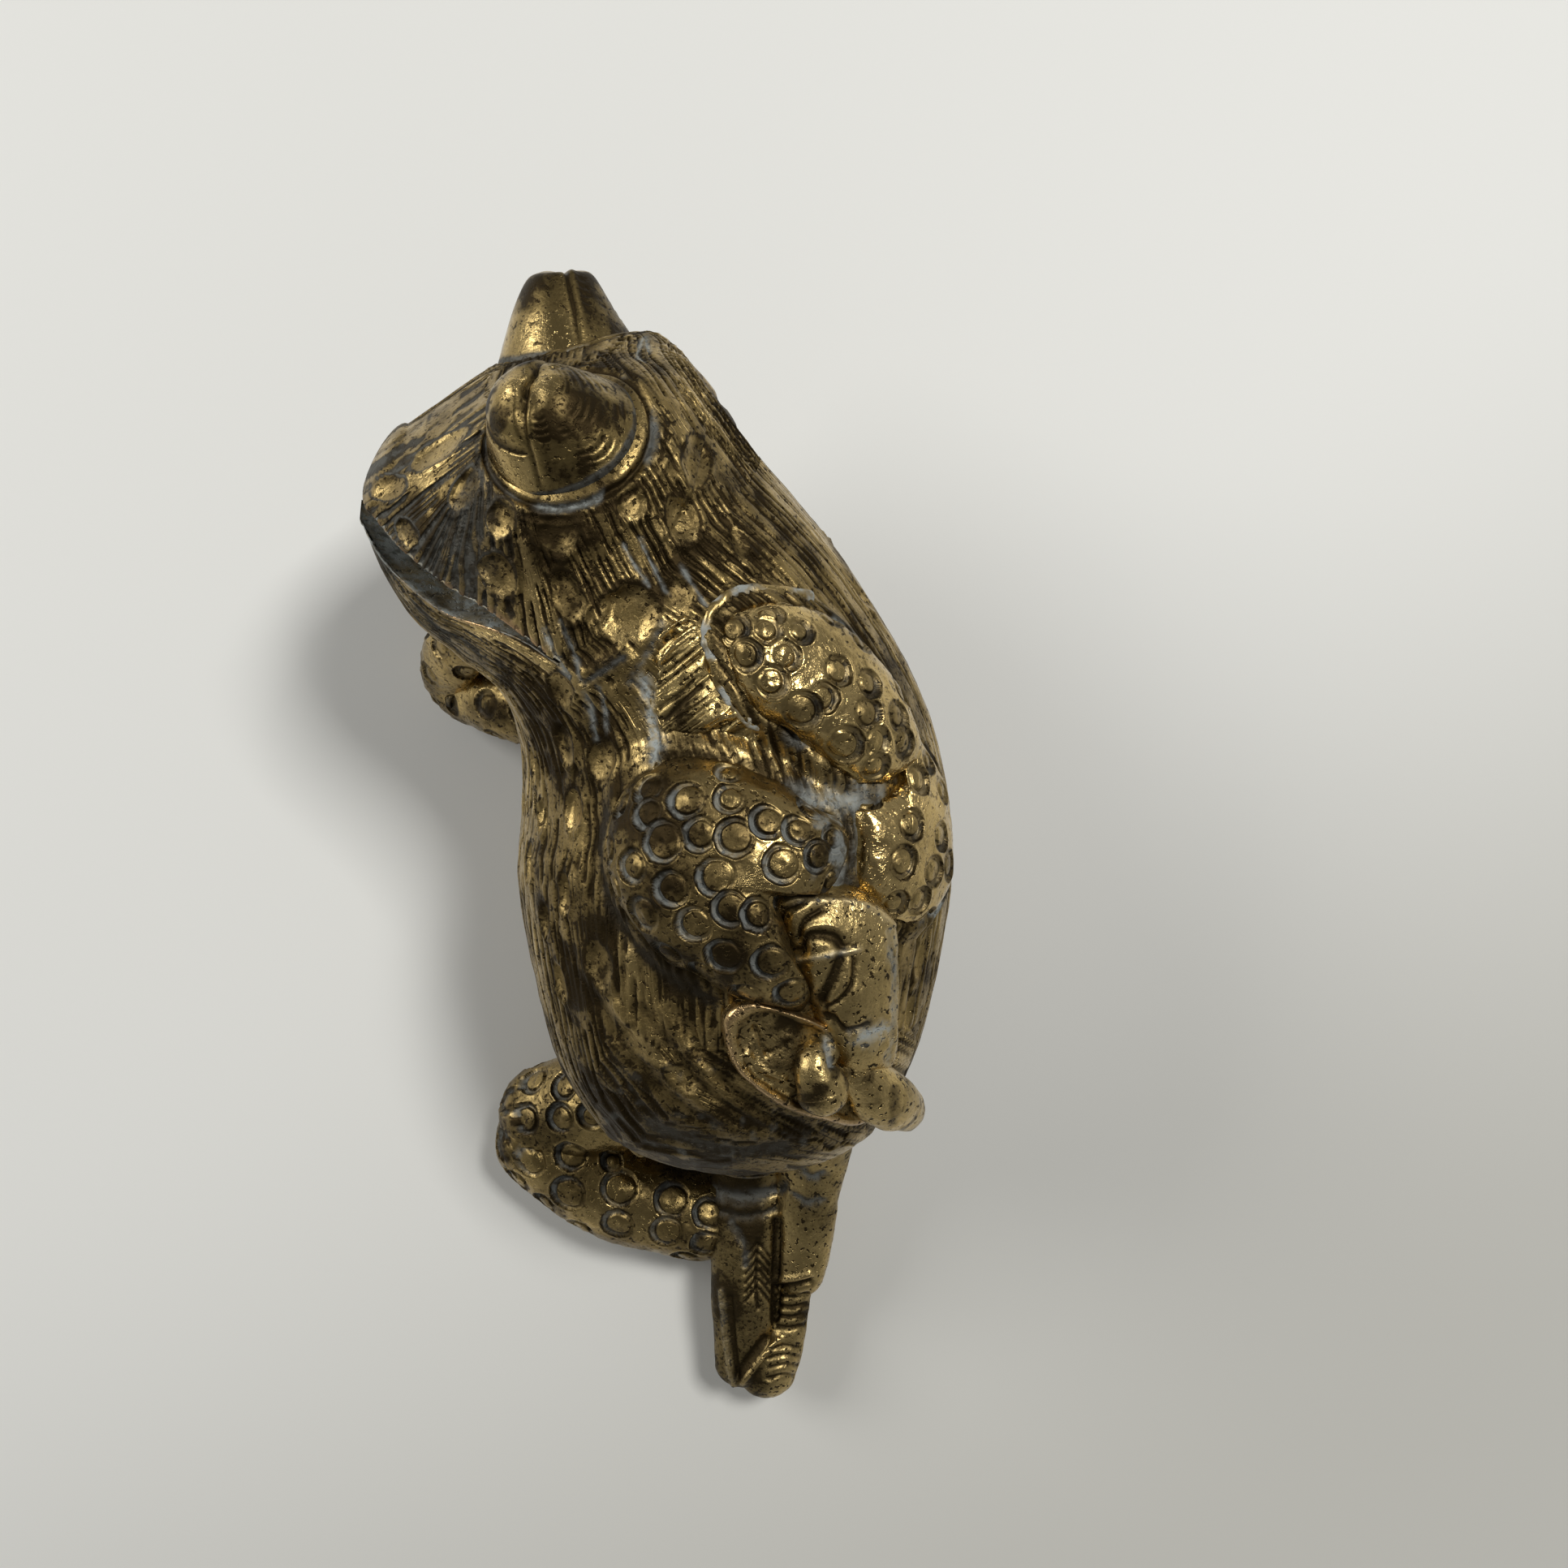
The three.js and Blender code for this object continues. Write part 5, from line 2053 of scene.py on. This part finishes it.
def eye_ring(skin: Sheet, hand: int) -> Array:
    """Mound under an eye, with a crusted groove and fine folds round the seat.

    Args:
        skin: Skin of the head or of the jaw.
        hand: 1 for the left eye and -1 for the right one.

    Returns:
        Height for each point.
    """
    oval, over = HEAD.eye_oval(skin.points, hand)
    near = np.abs(over) < RING_REACH
    groove = np.where(near, hump(oval, 1.04, 0.045), 0)
    mound = np.where(near, ease(oval, 1.9, 1.05), 0)
    folds = np.where(near, hump(oval, 1.11, 0.03) + 0.7 * hump(oval, 1.22, 0.03), 0)
    folds = folds * ease(skin.noise(2.5, Seed.EYE_RING_FOLDS), -0.4, 0.3)
    crust = ease(skin.noise(3.5, Seed.EYE_RING_CRUST), 0.15, 0.45)
    skin.wipe(Mark.LINES, np.where(near, ease(oval, 1.14, 1.06), 0))
    skin.stain(Mark.VERDIGRIS, 0.9 * groove * crust)
    skin.stain(Mark.PATINA_AND_SHADE, 0.9 * groove + 0.6 * np.where(near, hump(oval, 1.165, 0.03), 0))
    skin.stain(Mark.WORN_AND_HIGHLIT, 0.15 * folds)
    return MOUND_RISE * mound - GROOVE_DEPTH * groove + FOLDS_RISE * folds


class HeadOvals:
    """Sections of the head from the neck to the snout's tip."""

    def __init__(self, rows: int) -> None:
        """Lays out the stations and the rounded snout.

        Args:
            rows: Number of sections before the snout's cap.
        """
        cap = quarter(CAP_ROWS)[::-1]
        last = len(BODY) - 1.0
        self.station = np.concatenate([np.linspace(NECK_STATION, last, rows), np.full(CAP_ROWS, last)])
        shrink = np.concatenate([np.ones(rows), np.maximum(np.cos(cap), 1e-3)])
        ahead = np.concatenate([np.zeros(rows), np.sin(cap)]) * SNOUT_CAP
        f = TOAD.sections(self.station)
        self.centre = f.centre + f.ahead * ahead[:, None]
        self.back = f.back * (f.depth * shrink)[:, None]
        self.side = f.side * (f.width * shrink)[:, None]
        self.count = len(self.station)

    def points(self, turn: Array) -> Array:
        """Places on the ovals at angles in radians, one row of them per section."""
        angle = turn[..., None]
        return self.centre[:, None] + self.back[:, None] * np.sin(angle) + self.side[:, None] * np.cos(angle)

    def lips(self, drop_left: Array, drop_right: Array) -> tuple[Array, Array]:
        """Angles where the ovals cross a level below the mouth's corner line.

        Args:
            drop_left: Depth of the level on the left side.
            drop_right: Depth of the level on the right side.

        Returns:
            Left and right angles in radians.
        """
        middle = (self.centre - HEAD.mouth) @ HEAD.up
        by_back, by_side = self.back @ HEAD.up, self.side @ HEAD.up
        size = np.hypot(by_back, by_side)
        phase = np.arctan2(by_side, by_back)
        left = np.arcsin(np.clip(-(middle + drop_left) / size, -1, 1)) - phase
        right = np.pi - np.arcsin(np.clip(-(middle + drop_right) / size, -1, 1)) - phase
        return left, right

    def gape(self, turn: Array) -> Array:
        """Depth of the lower lip under the upper one."""
        reach = (self.points(turn[:, None])[:, 0] - HEAD.mouth) @ HEAD.forward
        return MOUTH_SEAM + (MOUTH_GAP - MOUTH_SEAM) * ease(reach, -1.0, 9.0)

    def dressed(self, outer: Array, turn: Array, wall: Array, fan: bool) -> Sheet:
        """Skin with its marks, joined to the mouth's wall.

        Args:
            outer: Points on the skin.
            turn: Turns of those points in degrees.
            wall: Points inside the mouth.
            fan: Whether the lines fan out from the eye.

        Returns:
            A closed grid.
        """
        station = np.broadcast_to(self.station[:, None], turn.shape)
        skin = Sheet(outer, closed=False)
        skin.flow = skin_flow(outer, station, turn, fan)
        skin.marks[Mark.LINES] = np.ones(turn.shape)
        height = SKIN_MARKS.apply(skin)
        for hand in (1, -1):
            height += eye_ring(skin, hand)
        height += engrave(skin)
        snout = ease(skin.picture()[0], *SNOUT_COLUMNS)
        skin.stain(Mark.VERDIGRIS, 0.28 * snout * skin.marks[Mark.PATINA_AND_SHADE])
        share = np.linspace(0, 1, outer.shape[1])
        edge = np.minimum(share, 1 - share)
        mouth = ((outer - HEAD.mouth) @ HEAD.forward) > -2
        skin.stain(Mark.COPPER, np.where(mouth, ease(edge, 0.014, 0.0), 0))
        skin.wipe(Mark.LINES, np.where(mouth, ease(edge, 0.03, 0.01), 0))
        height *= np.where(mouth, 0.35 + 0.65 * ease(edge, 0.0, 0.02), 1) * ease(station, 11.0, 10.7)
        skin.lift(height, TOAD.outward(station, turn))
        inner = Sheet(wall, closed=False)
        inner.stain(Mark.VERDIGRIS, 0.75 + 0.45 * inner.noise(1.5, Seed.MOUTH_CRUST))
        marks = {mark: np.concatenate([skin.marks[mark], inner.marks[mark]], 1) for mark in Mark}
        flow = np.concatenate([skin.flow, inner.flow], 1)
        return Sheet(np.concatenate([skin.points, wall], 1), True, marks, flow)


def mouth_wall(start: Array, end: Array, inward: Array) -> Array:
    """Wall of the mouth from lip to lip, which curls in behind each lip as a quarter round.

    Args:
        start: Points along one lip.
        end: Points along the other lip.
        inward: Direction away from the opening.

    Returns:
        Points, without the lips themselves.
    """
    share = (0.5 - 0.5 * np.cos(np.linspace(0, np.pi, MOUTH_COLUMNS + 2)))[1:-1]
    span = np.linalg.norm(end - start, axis=-1)[:, None]
    near = np.minimum(share, 1 - share)[None] * span
    curl = np.sqrt(np.clip(1 - (1 - np.minimum(near, LIP_WIDTH) / LIP_WIDTH) ** 2, 0, 1))
    flat = start[:, None] + (end - start)[:, None] * share[None, :, None]
    return flat + inward * (LIP_DEPTH * curl * np.minimum(1, span / LIP_SPAN))[..., None]


@dataclass
class Skull(Piece):
    """Upper head with the upper lip and the roof of the mouth."""

    node: str = "head"
    slot: str = "brass_body"
    rows: int = 205
    columns: int = 390

    def sheets(self) -> list[Sheet]:
        """Loft of the part of each oval above the mouth, closed by the roof of the mouth.

        Returns:
            One closed grid.
        """
        ovals = HeadOvals(self.rows)
        level = np.zeros(ovals.count)
        left, right = ovals.lips(level, level)
        turn = left[:, None] + (right - left)[:, None] * np.linspace(0, 1, self.columns)
        outer = ovals.points(turn)
        roof = mouth_wall(outer[:, -1], outer[:, 0], HEAD.up)
        return [ovals.dressed(outer, np.degrees(turn), roof, True)]


@dataclass
class Jaw(Piece):
    """Lower jaw with the lower lip and the floor of the mouth."""

    node: str = "lower_jaw"
    slot: str = "brass_body"
    rows: int = 150
    columns: int = 260

    def sheets(self) -> list[Sheet]:
        """Loft of the part of each oval below the mouth, closed by the floor of the mouth.

        Returns:
            One closed grid.
        """
        ovals = HeadOvals(self.rows)
        level = np.zeros(ovals.count)
        left, right = ovals.lips(level, level)
        left, right = ovals.lips(ovals.gape(left), ovals.gape(right))
        turn = right[:, None] + (left + 2 * np.pi - right)[:, None] * np.linspace(0, 1, self.columns)
        outer = ovals.points(turn)
        floor = mouth_wall(outer[:, -1], outer[:, 0], -HEAD.up)
        degrees = np.degrees(turn)
        degrees = np.where(degrees > LAST_TURN, degrees - 360, degrees)
        return [ovals.dressed(outer, degrees, floor, False)]


@dataclass
class Eye(Piece):
    """Domed eye with a cleft, two-lobed tip."""

    node: str = "left_eye"
    slot: str = "brass_eyes"
    hand: int = 1
    rows: int = 130
    columns: int = 220

    def sheets(self) -> list[Sheet]:
        """Dome over an oval seat, with a cleft tip.

        The dome is flat near its axis, bends over a soft shoulder and falls ever steeper to
        its seat, most steeply in front. A globe bulges out of the front half over a lid, two
        lobes stand beside a short cleft on the tip, a ridge runs down from it, and rounds are
        cut into the rear half. Under the seat a short wall goes into the head.

        Returns:
            One closed grid.
        """
        axis = HEAD.eye_axis(self.hand)
        front = unit(HEAD.forward - axis * (HEAD.forward @ axis))
        side = np.cross(axis, front)
        angle = np.linspace(0, 2 * np.pi, self.columns, endpoint=False)[None]
        share = np.linspace(1, 0, self.rows)[:, None] * np.ones_like(angle)
        x = EYE_LENGTHS[self.hand] * share * np.cos(angle)
        y = EYE_BREADTH * share * np.sin(angle)
        flat = np.stack([x, y], -1)
        wobble = noise(flat / 1.6, Seed.EYE_LUMPS)
        bend, sink = EYE_BENDS[self.hand], EYE_SINKS[self.hand]
        fall = bend * np.logaddexp(0, (share - EYE_SHOULDER) / bend) / (1 - EYE_SHOULDER)
        swell = EYE_SWELLS[self.hand] + 0.25 * np.cos(angle)
        height = (EYE_HEIGHTS[self.hand] + sink) * (1 - fall**swell) + 0.08 * wobble
        run = x + 0.25 * plane_noise(y / 1.5, 0 * y, Seed.CLEFT_SWAY)
        in_front = ease(run, -0.1, 0.9)
        lid = self.hand > 0
        globe = lid * in_front * ease(share, LID_EDGE, 0.64)
        crease = lid * in_front * hump(share, LID_EDGE, 0.03)
        cleft = hump(run, 0.0, 0.34) * ease(y, 1.6, 0.8) * ease(share, 0.75, 0.5)
        seam = hump(run, -0.15, 0.3) * ease(y, 0.9, 1.8) * ease(share, 0.99, 0.9)
        ridge = hump(run, -0.9, 0.5) * ease(y, 0.6, 1.6) * ease(share, 0.98, 0.8)
        lobes = hump(np.hypot(np.abs(x) - 1.9, 0.8 * (y + 0.4)), 0.0, 1.7)
        rear = ease(run, -0.8, -1.8) * ease(share, 0.99, 0.92) * ease(share, 0.34, 0.42)
        sway = 3.0 * noise(flat / 2.0, Seed.ROUND_SWAY)
        rounds = 0.5 - 0.5 * np.cos(share * 2 * np.pi * EYE_ROUNDS + sway)
        rounds = rounds * ease(noise(flat / 1.0, Seed.ROUND_WEAR), -0.3, 0.5)
        height += (
            GLOBE_RISE * globe
            - CREASE_DEPTH * crease
            - CLEFT_DEPTH * cleft
            - SEAM_DEPTH * seam
            + RIDGE_RISE * ridge
            + LOBE_RISE * lobes
        )
        height -= ROUND_DEPTH * rounds * rear
        place = HEAD.eye_place(self.hand) - sink * axis
        dome = place + x[..., None] * front + y[..., None] * side + height[..., None] * axis
        skirt = dome[:1] - axis * np.linspace(*EYE_SKIRT, SKIRT_ROWS)[:, None, None]
        sheet = Sheet(np.concatenate([skirt, dome]))
        deep = np.maximum.reduce([0.85 * cleft, 0.9 * crease, 0.7 * seam, 0.7 * rounds * rear])
        dull = noise(flat / 1.3, Seed.EYE_GRIME)
        deep = np.maximum(deep, 0.9 * globe * ease(dull, -0.25, 0.25) * ease(share, 0.25, 0.45))
        deep = np.maximum(deep, (0.35 + 0.3 * dull) * rear)
        # The lobes are kept free of dark marks and painted bright as a highlight
        deep = deep * (1 - lobes)
        for mark, value in (
            (Mark.PATINA_AND_SHADE, np.maximum(deep, 0.8 * ease(share, 0.97, 1.0))),
            (Mark.WORN_AND_HIGHLIT, np.maximum(lobes, 0.5 * in_front * ease(share, LID_EDGE, 0.78))),
            (Mark.VERDIGRIS, 0.25 * ease(share, 0.97, 1.0)),
        ):
            sheet.stain(mark, np.concatenate([np.repeat(value[:1], SKIRT_ROWS, 0), value]))
        return [sheet]


def pieces() -> list[Piece]:
    """Every casting of the toad.

    Returns:
        The castings.
    """
    return [
        Torso(),
        Skull(),
        Jaw(),
        Eye(),
        Eye(node="right_eye", hand=-1),
        Cast("left_arm", "brass_limbs", (UPPER_ARM, FOREARM), ARM_PUNCH, 120, 330, 0.95),
        LeftLeg("left_leg", "brass_limbs", (LEFT_LEG,), LEG_PUNCH, 190, 480, 0.25),
        LeftFoot("left_foot", "brass_feet", LEFT_FOOT, None, 110, 210, 0.6),
        LeftHand("left_hand", "brass_feet", (LEFT_HAND,)),
        Cast("right_arm", "brass_limbs", (RIGHT_ARM,), RIGHT_ARM_PUNCH, 230, 160),
        Cast("right_hand", "brass_feet", (RIGHT_HAND,)),
        Cast("right_leg", "brass_limbs", (RIGHT_THIGH, RIGHT_SHIN), RIGHT_LEG_PUNCH, 180, 220, 0.15),
        RightFoot("right_foot", "brass_feet", (RIGHT_TOE, RIGHT_LEAF, RIGHT_WEB), None, 190, 150),
        Bead("left_shoulder_bead", "braze", (SHOULDER_BEAD,), None, 120, 24),
        Cast("right_hip_bead", "braze", (HIP_BEAD,), None, 60, 24),
    ]


class Lamp(NamedTuple):
    """Square light: its name, place and edge in metres, and power in watts."""

    name: str
    place: tuple[float, float, float]
    size: float
    watts: float


LAMPS = (
    Lamp("key", (0.42, 0.36, 0.90), 0.24, 7.6),
    Lamp("side", (-0.75, 0.35, 0.55), 0.5, 5.0),
)


@dataclass(frozen=True)
class Studio:
    """Table, lights and camera; the camera is moved with the figure by an offset in millimetres."""

    shift: Array

    def table(self) -> None:
        """Pale table under the toad."""
        bpy.ops.mesh.primitive_plane_add(size=TABLE_EDGE, location=(0, 0, -TABLE_DROP))
        floor = bpy.context.object
        floor.name = "table"
        material = bpy.data.materials.new("pale table")
        material.use_nodes = True
        wire = Wire(material.node_tree)
        split = wire.node("ShaderNodeSeparateXYZ")
        wire.feed(split.inputs[0], wire.object_place())
        # Painted shade: the table's colour darkens towards the lower right
        slope = wire.graded(wire.blend(split.outputs["X"], 0.5, split.outputs["Y"], -0.85), -0.02, 0.13)
        shader = material.node_tree.nodes["Principled BSDF"]
        wire.feed(shader.inputs["Base Color"], wire.mix(slope, TABLE_LIT, TABLE_DIM))
        shader.inputs["Roughness"].default_value = TABLE_ROUGH
        floor.data.materials.append(material)

    def area(self, lamp: Lamp) -> None:
        """Hangs up a light that faces the toad.

        Args:
            lamp: The light.
        """
        light = bpy.data.lights.new(lamp.name, "AREA")
        light.size = lamp.size
        light.energy = lamp.watts
        obj = bpy.data.objects.new(lamp.name, light)
        obj.location = lamp.place
        spot = np.array(lamp.place) - np.array([0, 0, AIM_HEIGHT])
        tip = float(np.arctan2(np.hypot(spot[0], spot[1]), spot[2]))
        obj.rotation_euler = (tip, 0.0, float(np.arctan2(spot[1], spot[0]) + np.pi / 2))
        bpy.context.scene.collection.objects.link(obj)

    def lights(self) -> None:
        """Soft key light from the upper right, a weak one at the left and a dim sky."""
        for lamp in LAMPS:
            self.area(lamp)
        world = bpy.data.worlds.new("room")
        world.use_nodes = True
        tree = world.node_tree
        wire = Wire(tree)
        split = wire.node("ShaderNodeSeparateXYZ")
        wire.feed(split.inputs[0], wire.node("ShaderNodeTexCoord").outputs["Generated"])
        height = wire.graded(split.outputs["Z"], 0.2, 0.8)
        shade = wire.mix(height, SKY_LOW, SKY_HIGH)
        wire.feed(tree.nodes["Background"].inputs["Color"], shade)
        bpy.context.scene.world = world

    def camera(self) -> None:
        """Camera straight over the table."""
        data = bpy.data.cameras.new("overhead")
        data.sensor_width = SENSOR_WIDTH
        data.lens = SENSOR_WIDTH * FOCAL_PIXELS / PHOTO_PIXELS
        data.clip_start = NEAR_CLIP
        obj = bpy.data.objects.new("overhead", data)
        obj.location = (self.shift[0] * MM, self.shift[1] * MM, CAMERA_HEIGHT * MM)
        bpy.context.scene.collection.objects.link(obj)
        bpy.context.scene.camera = obj


def frame_shift() -> Array:
    """Offset from the figure's frame to the part's frame, from the torso's box.

    Returns:
        Offset in millimetres.
    """
    low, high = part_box("torso")
    f = TOAD.sections(np.arange(0, NECK_STATION + 0.01, SOLID_STEP))
    east = (f.centre[:, 0] + np.hypot(f.depth * f.back[:, 0], f.width * f.side[:, 0])).max()
    south = BODY[0].y - RUMP_CAP * np.cos(np.radians(BODY[0].rise))
    return np.array([high[0] / MM - east, low[1] / MM - south, 0.0])


def main() -> None:
    """Builds the toad, the table, the lights and the camera."""
    logging.basicConfig(level=logging.INFO)
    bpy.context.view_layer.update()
    shift = frame_shift()
    LOG.info("shift %s", shift)
    for piece in pieces():
        obj = piece.build(shift)
        piece.dress(obj)
        LOG.info("%s: %d triangles", piece.node, 2 * len(obj.data.polygons))
    studio = Studio(shift)
    studio.table()
    studio.lights()
    studio.camera()
    bpy.context.scene.view_settings.view_transform = "Standard"


if __name__ == "__main__":
    main()
